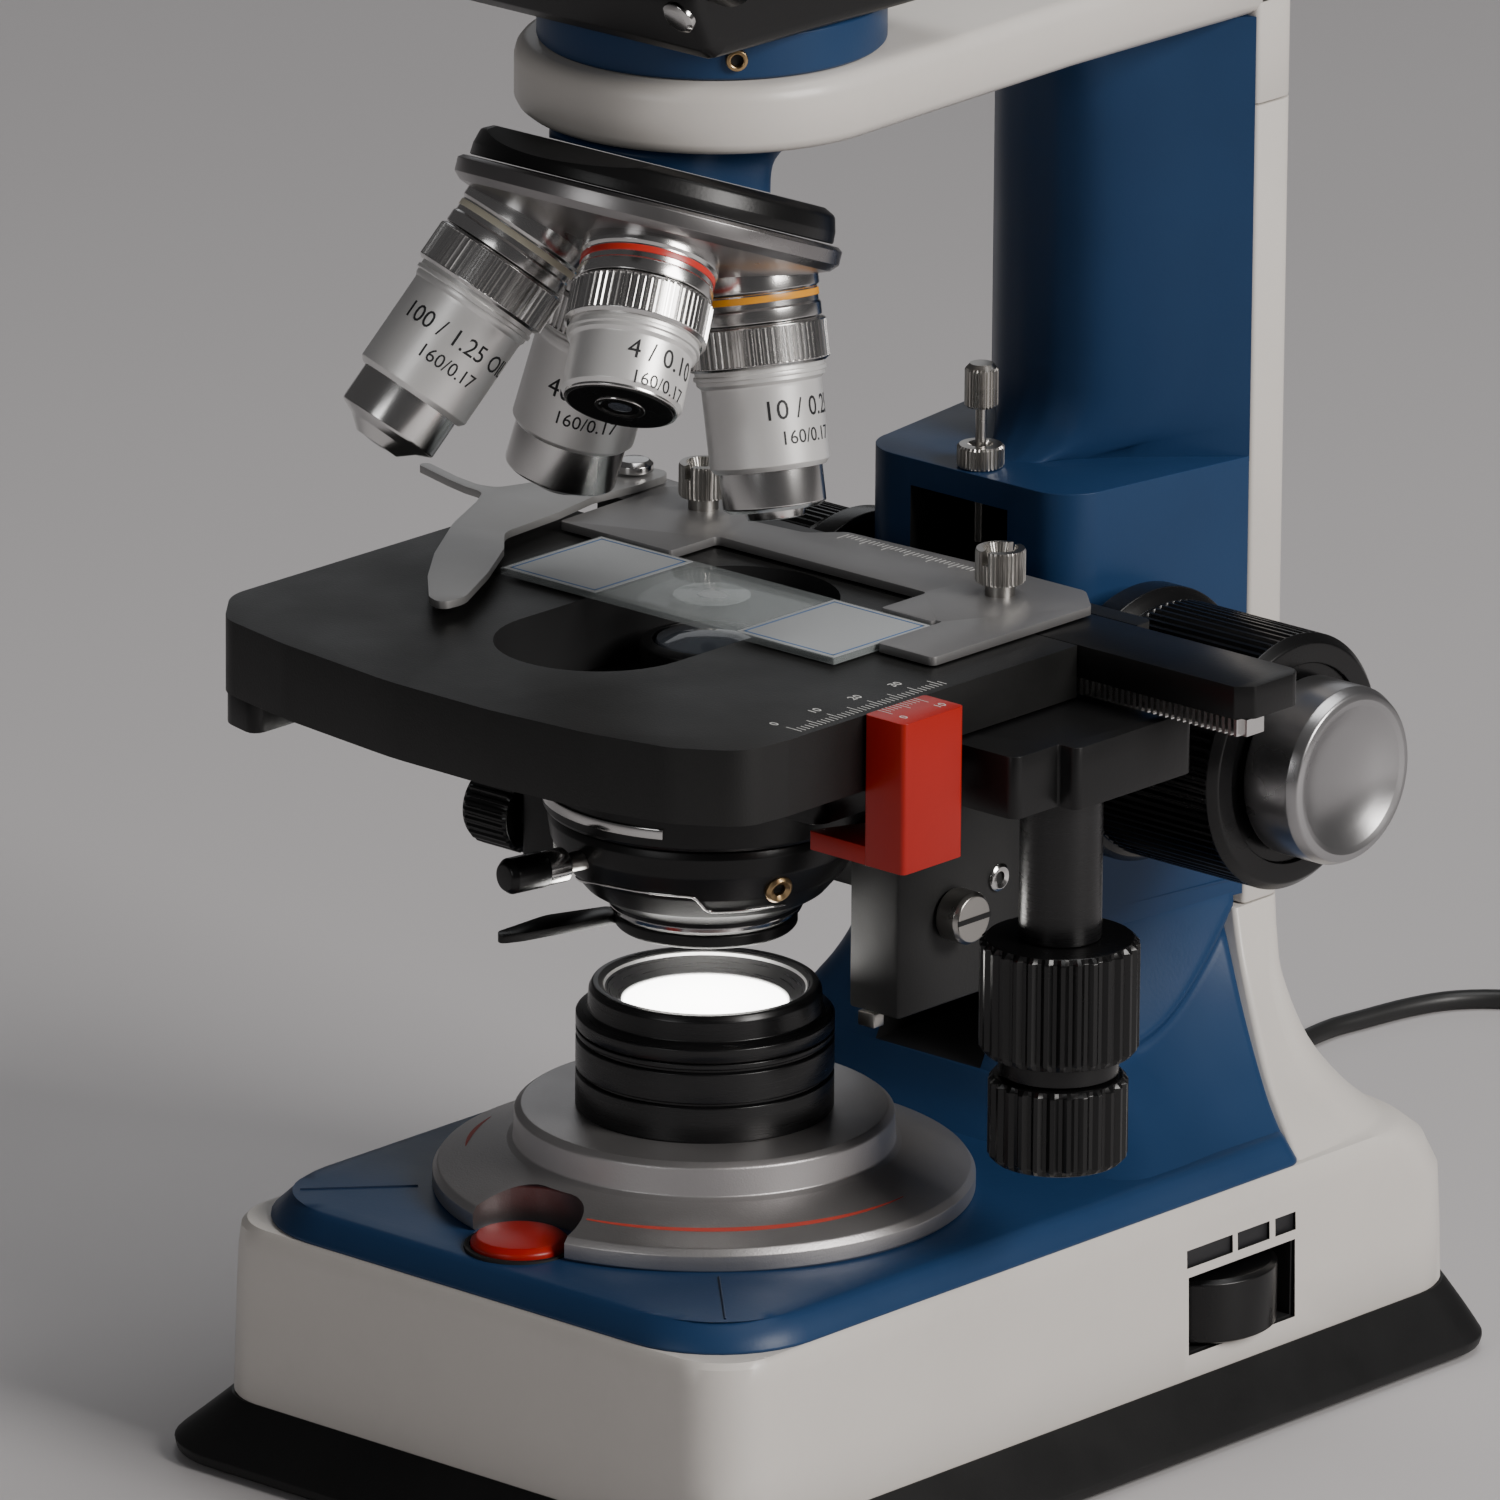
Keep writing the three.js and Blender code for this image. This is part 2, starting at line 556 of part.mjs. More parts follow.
function xKnob() {
  return turned([[0, 64.6], [11, 64.6], [11.8, 65.6], [11.8, 78.6], [11, 79.6], [0, 79.6]], 30)
    .translate(POST.x, POST.y, 0);
}

// ---- condenser ----------------------------------------------------------------------------------
function condenserHolder() {
  const ring = plate(circle(0, 0, CONDENSER_R, 40), 115, 119.6, [circle(0, 0, 19, 32)]);
  const sleeve = plate(circle(0, 0, CONDENSER_R, 40), 119, 133, [circle(0, 0, 21.5, 32)]);
  const arm = box(20, 31, 14, 46, 80, 114.6);
  const neck = box(20, 31, 14, 24, 110, 122);
  const hanger = box(-38, -30.5, -5, 5, 97.5, 121);
  const hangerRoot = box(-38, -26, -5, 5, 116, 121);
  return cut(join(ring, sleeve, arm, neck, hanger, hangerRoot), plate(circle(0, 0, 27.8, 40), 70, 114.9));
}

function condenserBody() {
  return turned([
    [0, 97], [15.4, 97], [16.4, 97.6], [16.8, 99], [20.6, 101.4], [24, 105.4], [26.4, 110], [27, 113.4],
    [26.6, 114.7], [18.7, 114.9], [18.7, 133.6], [11.5, 136.8], [11.5, 144], [9.4, 144.4], [9.4, 143], [0, 143],
  ], 36);
}

function condenserLens() {
  return turned([[0, 143.3], [9.1, 143.3], [8.6, 144.2], [5, 145.4], [0, 145.8]], 24);
}

function condenserKnob() {
  return place(turned([[0, 0], [3, 0], [3, 1.6], [7, 2], [7, 11.4], [6.2, 12.2], [0, 12.2]], 24),
    [-38 - GAP, 0, 104.4], [-1, 0, 0]);
}

function clampScrew() {
  return place(turned([[0, 0], [4.6, 0], [4.6, 4.2], [4, 5], [0, 5]], 24), [31 + GAP, 27.5, 96], [1, 0, 0]);
}

function irisLever() {
  const dir = [-0.185, -0.983, 0];
  const at = [dir[0] * 27.4, dir[1] * 27.4, 110];
  return place(turned([[0, 0], [1.8, 0], [1.8, 2.6], [3, 3], [3, 14.6], [2.4, 15.4], [0, 15.4]], 16), at, dir);
}

function filterCarrier() {
  const ring = plate(circle(0, 0, 15.6, 32), 94, 96.6, [circle(0, 0, 13, 28)]);
  const handle = plate([[-14, -8.4], [-9.6, -12], [-13, -31], [-16, -35], [-18.6, -33], [-18, -28]], 94.2, 96);
  return join(ring, handle);
}

// ---- supply lead --------------------------------------------------------------------------------
class SmoothPath extends THREE.CatmullRomCurve3 {
  constructor(points) {
    super(points.map((p) => new THREE.Vector3(...p)), false, 'centripetal');
  }
}

function cordLead() {
  const z = LEAD_R + 0.05;
  const path = new SmoothPath([
    [-30, BASE_Y1 + 19.5, 26], [-30.5, 162, 23], [-33, 174, 13], [-38, 186, 5], [-46, 197, z], [-55, 210, z],
    [-61, 224, z], [-63.6, 239.5, z], [-62.7, 250, z], [-61, 261, z], [-57.5, 270, z], [-49.5, 277.5, z],
    [-37, 281.6, z], [-23, 280.2, z],
  ]);
  const section = new THREE.Shape(circle(0, 0, LEAD_R, 8).map(([x, y]) => new THREE.Vector2(x, y)));
  return new THREE.ExtrudeGeometry(section, { steps: 48, extrudePath: path, bevelEnabled: false });
}

function cordCoil() {
  const r = COIL.r;
  return turned([
    [r - 6, 0], [r + 6, 0], [r + 7, 3], [r + 7, 8], [r + 5, 12], [r - 5, 12], [r - 7, 8], [r - 7, 3], [r - 6, 0],
  ], 32).translate(COIL.x, COIL.y, 0);
}

function dcPlug() {
  const g = turned([
    [0, -9], [2.7, -9], [2.7, 0.4], [4.6, 0.7], [4.8, 12], [3.4, 14], [3, 18], [0, 18],
  ], 20);
  return place(g, [-30, BASE_Y1 + 1, 26], [0, 1, 0]);
}

function wallAdapter() {
  const body = stack([
    { z: 0, pts: roundRect(-24, 24, -17, 17, 4) },
    { z: 24, pts: roundRect(-24, 24, -17, 17, 4) },
    { z: 27, pts: roundRect(-21, 21, -14, 14, 4) },
  ]);
  const pins = [-8, 8].map((x) => box(x - 0.8, x + 0.8, 16, 33, 9, 16));
  return join(body, ...pins).translate(62, 318, 0);
}

// ---- assembly -----------------------------------------------------------------------------------
add('bottom_cover', 'black', bottomCover());
add('base_skirt', 'black', baseSkirt());
add('base_shell', 'white', baseShell());
add('base_panel', 'blue', basePanel());
add('column', 'blue', column());
add('rear_spine', 'white', rearSpine());
add('arm_cap', 'white', armCap());
add('nosepiece_boss', 'blue', nosepieceBoss());
add('turret_cap', 'black', turretCap());
add('turret_plate', 'satin', turretPlate());
add('objective_10x', 'satin', objective(31.5, 10.1, [[8.7, 31.7], [8.7, 38], [5, 38.2], [4.6, 40]], TURRET_TURN));
add('objective_4x', 'satin', objective(26.4, 10.2, [[9.6, 26.8]], TURRET_TURN + 90));
add('objective_100x', 'satin',
  objective(34, 10.4, [[9, 34.2], [9, 41], [6, 42], [4, 44]], TURRET_TURN + 180));
add('objective_40x', 'satin',
  objective(34, 10.6, [[9.6, 34.2], [9.6, 42], [6, 43], [4, 44.2]], TURRET_TURN - 90));
add('head_ring', 'blue', headRing());
add('head_set_screw', 'brass', headSetScrew());
add('head_body', 'black', headBody());
add('prism_housing_right', 'black', prismHousing(1));
add('prism_housing_left', 'black', prismHousing(-1));
add('eyepiece_right', 'black', eyepiece(1, 40));
add('diopter_ring', 'black', diopterRing());
add('eyepiece_left', 'black', eyepiece(-1, 47.7));
add('lamp_flange', 'satin', lampFlange());
add('lamp_collar', 'satin', lampCollar());
add('field_ring', 'satin', fieldRing());
add('field_lens', 'glass', fieldLens());
add('power_button', 'red', powerButton());
add('dimmer_wheel', 'black', dimmerWheel());
add('dc_jack', 'black', dcJack());
add('coarse_knob_right', 'black', coarseKnob(1));
add('coarse_knob_left', 'black', coarseKnob(-1));
add('fine_knob_right', 'satin', fineKnob(1));
add('fine_knob_left', 'satin', fineKnob(-1));
add('stop_screw', 'chrome', stopScrew());
add('stop_nut', 'chrome', stopNut());
add('stage_bracket', 'dark', stageBracket());
add('stage_base', 'dark', stageBase());
add('vernier_block', 'red', vernierBlock());
add('stage_top', 'dark', stageTop());
add('y_knob', 'black', yKnob());
add('x_knob', 'black', xKnob());
add('x_bar', 'black', barBlank());
add('x_rack', 'satin', rack());
add('slide_holder', 'satin', slideHolder());
add('thumb_screw_right', 'chrome', thumbScrew(36.5, 32.9));
add('thumb_screw_left', 'chrome', thumbScrew(-33.5, 35.9));
add('specimen_slide', 'glass', specimenSlide());
add('slide_finger', 'satin', slideFinger());
add('finger_screw', 'chrome', fingerScrew());
add('condenser_holder', 'dark', condenserHolder());
add('condenser_body', 'black', condenserBody());
add('condenser_lens', 'glass', condenserLens());
add('condenser_knob', 'black', condenserKnob());
add('clamp_screw', 'chrome', clampScrew());
add('iris_lever', 'black', irisLever());
add('filter_carrier', 'black', filterCarrier());
add('cord_lead', 'black', cordLead());
add('cord_coil', 'black', cordCoil());
add('dc_plug', 'black', dcPlug());
add('wall_adapter', 'black', wallAdapter());

export default group;
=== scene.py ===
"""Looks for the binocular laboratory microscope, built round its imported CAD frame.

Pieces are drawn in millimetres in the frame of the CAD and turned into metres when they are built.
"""
import math
import bpy
import bmesh
from mathutils import Matrix, Vector


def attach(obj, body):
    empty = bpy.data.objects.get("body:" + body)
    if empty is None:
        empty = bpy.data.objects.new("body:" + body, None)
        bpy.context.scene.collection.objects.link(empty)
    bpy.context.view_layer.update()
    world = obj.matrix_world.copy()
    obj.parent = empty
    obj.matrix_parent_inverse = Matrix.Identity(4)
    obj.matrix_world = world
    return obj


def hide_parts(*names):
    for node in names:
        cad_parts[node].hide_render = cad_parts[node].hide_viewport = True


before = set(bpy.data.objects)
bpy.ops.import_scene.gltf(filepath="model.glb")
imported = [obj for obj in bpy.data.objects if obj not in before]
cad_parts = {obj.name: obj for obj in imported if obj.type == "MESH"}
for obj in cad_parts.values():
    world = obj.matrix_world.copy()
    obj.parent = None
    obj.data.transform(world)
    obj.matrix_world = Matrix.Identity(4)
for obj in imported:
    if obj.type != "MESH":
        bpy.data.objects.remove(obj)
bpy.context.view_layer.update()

MM = 0.001
PI = math.pi


# ---- camera and lights --------------------------------------------------------------------------
AZIMUTH, ELEVATION, ROLL = math.radians(41.84), math.radians(17.55), math.radians(0.44)
FOCUS_POINT = Vector((0, 0, 148)) * MM
DISTANCE = 3.03


def camera():
    back = Vector((math.sin(AZIMUTH) * math.cos(ELEVATION), -math.cos(AZIMUTH) * math.cos(ELEVATION),
        math.sin(ELEVATION)))
    right = Vector((math.cos(AZIMUTH), math.sin(AZIMUTH), 0))
    up = back.cross(right)
    right, up = (right * math.cos(ROLL) + up * math.sin(ROLL), up * math.cos(ROLL) - right * math.sin(ROLL))
    data = bpy.data.cameras.new("camera")
    data.sensor_width, data.lens = 36, 432
    data.clip_start, data.clip_end = 0.1, 50
    cam = bpy.data.objects.new("camera", data)
    bpy.context.scene.collection.objects.link(cam)
    place = FOCUS_POINT + back * DISTANCE + right * 0.00709 - up * 0.02243
    rot = Matrix((right, up, back)).transposed().to_4x4()
    cam.matrix_world = Matrix.Translation(place) @ rot
    bpy.context.scene.camera = cam


def area_light(name, place, target, size, power, colour=(1, 1, 1), size_y=None):
    data = bpy.data.lights.new(name, "AREA")
    data.energy, data.color, data.size = power, colour, size
    if size_y:
        data.shape, data.size_y = "RECTANGLE", size_y
    lamp = bpy.data.objects.new(name, data)
    bpy.context.scene.collection.objects.link(lamp)
    lamp.location = place
    lamp.rotation_mode = "QUATERNION"
    lamp.rotation_quaternion = (Vector(target) - Vector(place)).to_track_quat("-Z", "Y")


camera()


# ---- materials ----------------------------------------------------------------------------------
class Nodes:
    """Short way to write a node tree."""

    def __init__(self, name):
        self.mat = bpy.data.materials.new(name)
        self.mat.use_nodes = True
        self.tree = self.mat.node_tree
        self.bsdf = self.tree.nodes["Principled BSDF"]
        self.coord = self.tree.nodes.new("ShaderNodeTexCoord").outputs["Object"]

    def link(self, a, b):
        self.tree.links.new(a, b)

    def noise(self, scale, detail=3, stretch=(1, 1, 1), rough=0.55):
        mapping = self.tree.nodes.new("ShaderNodeMapping")
        mapping.inputs["Scale"].default_value = stretch
        self.link(self.coord, mapping.inputs["Vector"])
        n = self.tree.nodes.new("ShaderNodeTexNoise")
        n.inputs["Scale"].default_value = scale
        n.inputs["Detail"].default_value = detail
        n.inputs["Roughness"].default_value = rough
        self.link(mapping.outputs["Vector"], n.inputs["Vector"])
        return n.outputs["Fac"]

    def ramp(self, fac, low, high, a, b):
        """Map fac from low..high to a..b, clamped."""
        n = self.tree.nodes.new("ShaderNodeMapRange")
        for key, value in zip(("From Min", "From Max", "To Min", "To Max"), (low, high, a, b)):
            n.inputs[key].default_value = value
        self.link(fac, n.inputs["Value"])
        return n.outputs["Result"]

    def mix(self, fac, a, b):
        n = self.tree.nodes.new("ShaderNodeMix")
        n.data_type = "RGBA"
        self.link(fac, n.inputs["Factor"])
        for key, value in (("A", a), ("B", b)):
            socket = [s for s in n.inputs if s.name == key and s.type == "RGBA"][0]
            if isinstance(value, tuple):
                socket.default_value = (*value, 1)
            else:
                self.link(value, socket)
        return [s for s in n.outputs if s.type == "RGBA"][0]

    def bump(self, height, strength, distance, normal=None):
        n = self.tree.nodes.new("ShaderNodeBump")
        n.inputs["Strength"].default_value = strength
        n.inputs["Distance"].default_value = distance
        self.link(height, n.inputs["Height"])
        if normal:
            self.link(normal, n.inputs["Normal"])
        return n.outputs["Normal"]


def shade(c, k):
    return tuple(min(1.0, v * k) for v in c)


def surface(name, colour, rough, metal=0.0, vary=0.05, grain=(900, 0.08, 0.00008), turned=None,
        brushed=None, coat=0.0, rough_vary=0.05, dust=0.0, specular=0.5):
    """Procedural finish: soft colour drift, fine grain, optional turning rings or a brushed direction."""
    t = Nodes(name)
    drift = t.noise(38, 4)
    fine = t.noise(420, 2)
    col = t.mix(t.ramp(drift, 0.3, 0.7, 0, 1), shade(colour, 1 - vary), shade(colour, 1 + vary))
    col = t.mix(t.ramp(fine, 0.35, 0.75, 0, 0.5), col, shade(colour, 1 + vary * 0.7))
    if dust:
        specks = t.noise(1500, 1)
        col = t.mix(t.ramp(specks, 0.72, 0.8, 0, dust), col, (0.5, 0.5, 0.5))
    t.link(col, t.bsdf.inputs["Base Color"])
    height = t.noise(grain[0], 3)
    rough_in = t.ramp(drift, 0.3, 0.7, max(0.02, rough - rough_vary), rough + rough_vary)
    normal = t.bump(height, grain[1], grain[2])
    if turned:
        rings = t.noise(turned[0], 2, stretch=(0.02, 0.02, 1))
        normal = t.bump(rings, turned[1], 0.00006, normal)
        rough_in = t.ramp(rings, 0.3, 0.7, max(0.02, rough - rough_vary), rough + rough_vary)
    if brushed:
        lines = t.noise(brushed[0], 2, stretch=brushed[2])
        normal = t.bump(lines, brushed[1], 0.00005, normal)
    t.link(rough_in, t.bsdf.inputs["Roughness"])
    t.link(normal, t.bsdf.inputs["Normal"])
    t.bsdf.inputs["Metallic"].default_value = metal
    t.bsdf.inputs["Specular IOR Level"].default_value = specular
    t.bsdf.inputs["Coat Weight"].default_value = coat
    t.bsdf.inputs["Coat Roughness"].default_value = 0.12
    return t.mat


def glass(name, tint, rough, alpha, coat=0.5):
    t = Nodes(name)
    smear = t.noise(60, 3)
    t.link(t.ramp(smear, 0.35, 0.7, rough, rough + 0.06), t.bsdf.inputs["Roughness"])
    t.link(t.mix(t.ramp(smear, 0.3, 0.7, 0, 1), tint, shade(tint, 0.94)), t.bsdf.inputs["Base Color"])
    t.bsdf.inputs["Alpha"].default_value = alpha
    t.bsdf.inputs["Coat Weight"].default_value = coat
    return t.mat


def glow(name, colour, strength):
    t = Nodes(name)
    spot = t.noise(90, 2)
    t.link(t.mix(t.ramp(spot, 0.3, 0.7, 0, 1), colour, shade(colour, 0.97)), t.bsdf.inputs["Base Color"])
    t.link(t.mix(t.ramp(spot, 0.3, 0.7, 0, 1), colour, shade(colour, 0.97)),
        t.bsdf.inputs["Emission Color"])
    t.bsdf.inputs["Emission Strength"].default_value = strength
    t.bsdf.inputs["Roughness"].default_value = 0.15
    return t.mat


M = {"white": surface("white_enamel", (0.66, 0.625, 0.585), 0.4, vary=0.025, grain=(650, 0.05, 0.0001),
    coat=0.15), "blue": surface("blue_enamel", (0.012, 0.042, 0.112), 0.4, vary=0.05,
    grain=(1400, 0.16, 0.0001), specular=0.3), "skirt": surface("black_skirt", (0.007, 0.007, 0.0072),
    0.45, vary=0.15, grain=(1800, 0.22, 0.0001), specular=0.35), "black": surface("black_enamel",
    (0.005, 0.005, 0.0052), 0.34, vary=0.12, grain=(1500, 0.18, 0.0001), specular=0.35),
    "stage": surface("black_stage_paint", (0.007, 0.007, 0.0068), 0.44, vary=0.12,
    grain=(2300, 0.35, 0.0001), specular=0.4), "plastic": surface("black_moulding", (0.004, 0.004, 0.0042),
    0.28, vary=0.12, grain=(1200, 0.08, 0.0001), specular=0.4), "rubber": surface("black_rubber",
    (0.014, 0.014, 0.014), 0.62, vary=0.12, grain=(1700, 0.3, 0.0001)),
    # deep: near-black; the real black plastic of the wells and the adapter seam, and painted shade on the
    # walls of cuts, in screw sockets and in the clamp slot
    "deep": surface("black_plastic_and_painted_recess_shade", (0.004, 0.004, 0.0045), 0.7, vary=0.2),
    "satin": surface("satin_aluminium", (0.58, 0.575, 0.58), 0.34, metal=0.92, vary=0.03,
    turned=(5200, 0.18)), "bead": surface("bead_blasted_metal", (0.46, 0.445, 0.445), 0.4, metal=0.85,
    vary=0.03, grain=(2600, 0.4, 0.0001)), "dark_satin": surface("dark_anodised", (0.006, 0.006, 0.0065),
    0.3, metal=0.0, vary=0.08, turned=(5200, 0.1), specular=0.45),
    "chrome": surface("polished_chrome", (0.6, 0.59, 0.58), 0.16, metal=1.0, vary=0.03,
    grain=(900, 0.02, 0.00004), rough_vary=0.04), "barrel": surface("objective_ring", (0.7, 0.69, 0.68),
    0.2, metal=1.0, vary=0.02, grain=(900, 0.02, 0.00004), rough_vary=0.015),
    "sleeve": surface("objective_sleeve", (0.88, 0.87, 0.855), 0.35, metal=0.55, vary=0.02,
    # scoop: darker copy of the flange's bead-blasted metal, painted shade on the walls of the scoop round
    # the button
    grain=(2600, 0.12, 0.00006), rough_vary=0.02), "scoop": surface("scoop_metal_painted_shade", (0.27, 0.25, 0.25),
    0.36, metal=0.9, vary=0.03, grain=(2600, 0.3, 0.0001)), "turret": surface("turret_metal",
    (0.3, 0.29, 0.29), 0.3, metal=0.95, vary=0.04, grain=(1500, 0.08, 0.00006)),
    "finger": surface("finger_plate", (0.36, 0.355, 0.35), 0.4, metal=0.7, vary=0.04),
    # blue_line: darker copy of the panel blue, painted shade along the panel's creases
    "blue_line": surface("blue_crease_painted_shade", (0.006, 0.02, 0.055), 0.5, vary=0.05),
    "plate": surface("brushed_plate", (0.27, 0.265, 0.265), 0.42, metal=0.7, vary=0.04,
    brushed=(3000, 0.16, (0.05, 1, 1))), "brass": surface("screw_brass", (0.42, 0.29, 0.15), 0.3,
    metal=1.0, vary=0.12, turned=(3000, 0.2)), "red": surface("red_plastic", (0.36, 0.009, 0.0045), 0.34,
    vary=0.05, grain=(1500, 0.1, 0.0001), specular=0.35), "print": surface("black_print",
    (0.012, 0.012, 0.014), 0.5, vary=0.1), "mark": surface("white_marks", (0.62, 0.62, 0.6), 0.55,
    vary=0.06), "red_mark": surface("red_marks", (0.5, 0.06, 0.04), 0.5, vary=0.08),
    "frost": surface("frosted_glass", (0.36, 0.375, 0.385), 0.6, vary=0.03, grain=(3000, 0.4, 0.00008)),
    "ink": surface("blue_ink", (0.05, 0.13, 0.3), 0.6, vary=0.1), "band_cream": surface("cream_band",
    (0.75, 0.7, 0.55), 0.35, vary=0.04), "band_red": surface("red_band", (0.6, 0.03, 0.02), 0.35,
    vary=0.04), "band_yellow": surface("orange_band", (0.8, 0.33, 0.02), 0.35, vary=0.04),
    "band_blue": surface("light_blue_band", (0.1, 0.42, 0.75), 0.35, vary=0.04),
    "lens": glass("lens_glass", (0.08, 0.09, 0.11), 0.03, 1.0, 1.0),
    "slide": glass("slide_glass", (0.75, 0.82, 0.82), 0.04, 0.22),
    "glow": glow("lamp_glass", (1.0, 0.985, 0.95), 9.0), "glow_soft": glow("lit_lens", (1.0, 0.98, 0.95),
    3.0), "nickel": surface("nickel_plate", (0.44, 0.425, 0.4), 0.3, metal=1.0, vary=0.04),
    "fine_metal": surface("fine_knob_metal", (0.4, 0.395, 0.4), 0.3, metal=0.95, vary=0.03),
    "cord": surface("cord_jacket", (0.012, 0.012, 0.012), 0.45, vary=0.12, grain=(1500, 0.15, 0.0001)),}


# ---- geometry helpers ---------------------------------------------------------------------------
def fillet(points, closed=False, steps=4):
    """Polyline from (x, y) or (x, y, radius) points; a radius rounds that corner."""
    out, n = [], len(points)
    for i, p in enumerate(points):
        radius = p[2] if len(p) > 2 else 0
        if not radius or (not closed and i in (0, n - 1)):
            out.append((p[0], p[1]))
            continue
        a, b, c = Vector(points[i - 1][:2]), Vector(p[:2]), Vector(points[(i + 1) % n][:2])
        u, v = (a - b).normalized(), (c - b).normalized()
        half = u.angle(v, PI) / 2
        if half > PI / 2 - 0.02:
            out.append((b.x, b.y))
            continue
        back = min(radius / math.tan(half), (a - b).length * 0.49, (c - b).length * 0.49)
        r = back * math.tan(half)
        centre = b + (u + v).normalized() * (r / math.sin(half))
        s, e = b + u * back - centre, b + v * back - centre
        turn = s.angle_signed(e)
        for k in range(steps + 1):
            ang = -turn * k / steps
            q = centre + Vector((s.x * math.cos(ang) - s.y * math.sin(ang),
                s.x * math.sin(ang) + s.y * math.cos(ang)))
            out.append((q.x, q.y))
    return out


def axis_matrix(at, axis=(0, 0, 1), twist=None):
    """Frame whose Z runs along axis from at (mm); twist fixes where its X points."""
    z = Vector(axis).normalized()
    x = Vector(twist) if twist else (Vector((1, 0, 0)) if abs(z.x) < 0.9 else Vector((0, 1, 0)))
    x = (x - z * x.dot(z)).normalized()
    rot = Matrix((x, z.cross(x), z)).transposed().to_4x4()
    return Matrix.Translation(Vector(at) * MM) @ rot


def piece(name, verts, faces, mat, body, at=None, slot=None, replaces=(), angle=35, bevel=0, bevel_steps=2):
    """New mesh piece from millimetre vertices, riding on a body; the slot argument is not used."""
    mesh = bpy.data.meshes.new(name)
    mesh.from_pydata([Vector(v) * MM for v in verts], [], faces)
    bm = bmesh.new()
    bm.from_mesh(mesh)
    bmesh.ops.remove_doubles(bm, verts=bm.verts, dist=1e-7)
    bmesh.ops.recalc_face_normals(bm, faces=bm.faces)
    bm.to_mesh(mesh)
    bm.free()
    obj = bpy.data.objects.new(name, mesh)
    bpy.context.scene.collection.objects.link(obj)
    obj.data.materials.append(M[mat])
    if bevel:
        mod = obj.modifiers.new("bevel", "BEVEL")
        mod.width, mod.segments, mod.limit_method = bevel * MM, bevel_steps, "ANGLE"
        mod.angle_limit = math.radians(angle)
        mod.use_clamp_overlap = True
        settle(obj)
    for p in obj.data.polygons:
        p.use_smooth = True
    obj.data.set_sharp_from_angle(angle=math.radians(angle))
    if at is not None:
        obj.matrix_world = at
    return ride(obj, body, replaces)


def ride(obj, body, replaces):
    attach(obj, body)
    if replaces:
        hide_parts(*([replaces] if isinstance(replaces, str) else replaces))
    return obj


def settle(obj):
    """Apply the modifiers of an unparented object to its mesh."""
    bpy.context.view_layer.update()
    graph = bpy.context.evaluated_depsgraph_get()
    mesh = bpy.data.meshes.new_from_object(obj.evaluated_get(graph))
    obj.modifiers.clear()
    obj.data = mesh


def lathe(name, profile, mat, body, at=(0, 0, 0), axis=(0, 0, 1), segments=96, teeth=None, twist=None,
        **more):
    """Turned piece from (radius, height[, fillet]) points; teeth = (z0, z1, count, depth) cuts flutes."""
    line = fillet(profile)
    if teeth:
        segments = teeth[2] * 4
    verts, faces, rings = [], [], []
    for r, z in line:
        if r < 1e-6:
            rings.append([len(verts)])
            verts.append((0, 0, z))
            continue
        ring = []
        for k in range(segments):
            rr = r
            if teeth and teeth[0] <= z <= teeth[1] and k % 4 in (2, 3):
                rr = r - teeth[3]
            a = 2 * PI * k / segments
            ring.append(len(verts))
            verts.append((rr * math.cos(a), rr * math.sin(a), z))
        rings.append(ring)
    for a, b in zip(rings, rings[1:]):
        for k in range(segments):
            m = (k + 1) % segments
            if len(a) == 1 and len(b) > 1:
                faces.append((a[0], b[m], b[k]))
            elif len(b) == 1 and len(a) > 1:
                faces.append((a[k], a[m], b[0]))
            elif len(a) > 1:
                faces.append((a[k], a[m], b[m], b[k]))
    return piece(name, verts, faces, mat, body, axis_matrix(at, axis, twist), **more)


def loft(name, rings, mat, body, **more):
    """Skin over rings of equal point counts, each a list of (x, y, z)."""
    verts = [p for ring in rings for p in ring]
    n = len(rings[0])
    faces = [(i * n + k, i * n + (k + 1) % n, (i + 1) * n + (k + 1) % n,
        (i + 1) * n + k) for i in range(len(rings) - 1) for k in range(n)]
    faces += [tuple(range(n)), tuple(range(len(verts) - 1, len(verts) - n - 1, -1))]
    return piece(name, verts, faces, mat, body, **more)


def prism(name, outline, z0, z1, mat, body, **more):
    """Flat plate from an outline in XY."""
    bm = bmesh.new()
    vs = [bm.verts.new((x, y, z0)) for x, y in fillet(outline, closed=True)]
    edges = [bm.edges.new((vs[i], vs[(i + 1) % len(vs)])) for i in range(len(vs))]
    fill = bmesh.ops.triangle_fill(bm, edges=edges, use_beauty=True, use_dissolve=False)
    flat = [f for f in fill["geom"] if isinstance(f, bmesh.types.BMFace)]
    top = bmesh.ops.extrude_face_region(bm, geom=flat)
    bmesh.ops.translate(bm, vec=(0, 0, z1 - z0), verts=[v for v in top["geom"] if isinstance(v,
        bmesh.types.BMVert)])
    bmesh.ops.recalc_face_normals(bm, faces=bm.faces)
    bm.verts.index_update()
    verts = [tuple(v.co) for v in bm.verts]
    faces = [tuple(v.index for v in f.verts) for f in bm.faces]
    bm.free()
    return piece(name, verts, faces, mat, body, **more)


def block(name, x, y, z, mat, body, bevel=0.5, **more):
    outline = [(x[0], y[0]), (x[1], y[0]), (x[1], y[1]), (x[0], y[1])]
    return prism(name, outline, z[0], z[1], mat, body, bevel=bevel, **more)


def circle(cx, cy, r, n=64):
    return [(cx + r * math.cos(2 * PI * k / n), cy + r * math.sin(2 * PI * k / n)) for k in range(n)]


def arc(cx, cy, r, a0, a1, n=12):
    return [(cx + r * math.cos(math.radians(a0 + (a1 - a0) * k / n)),
        cy + r * math.sin(math.radians(a0 + (a1 - a0) * k / n))) for k in range(n + 1)]


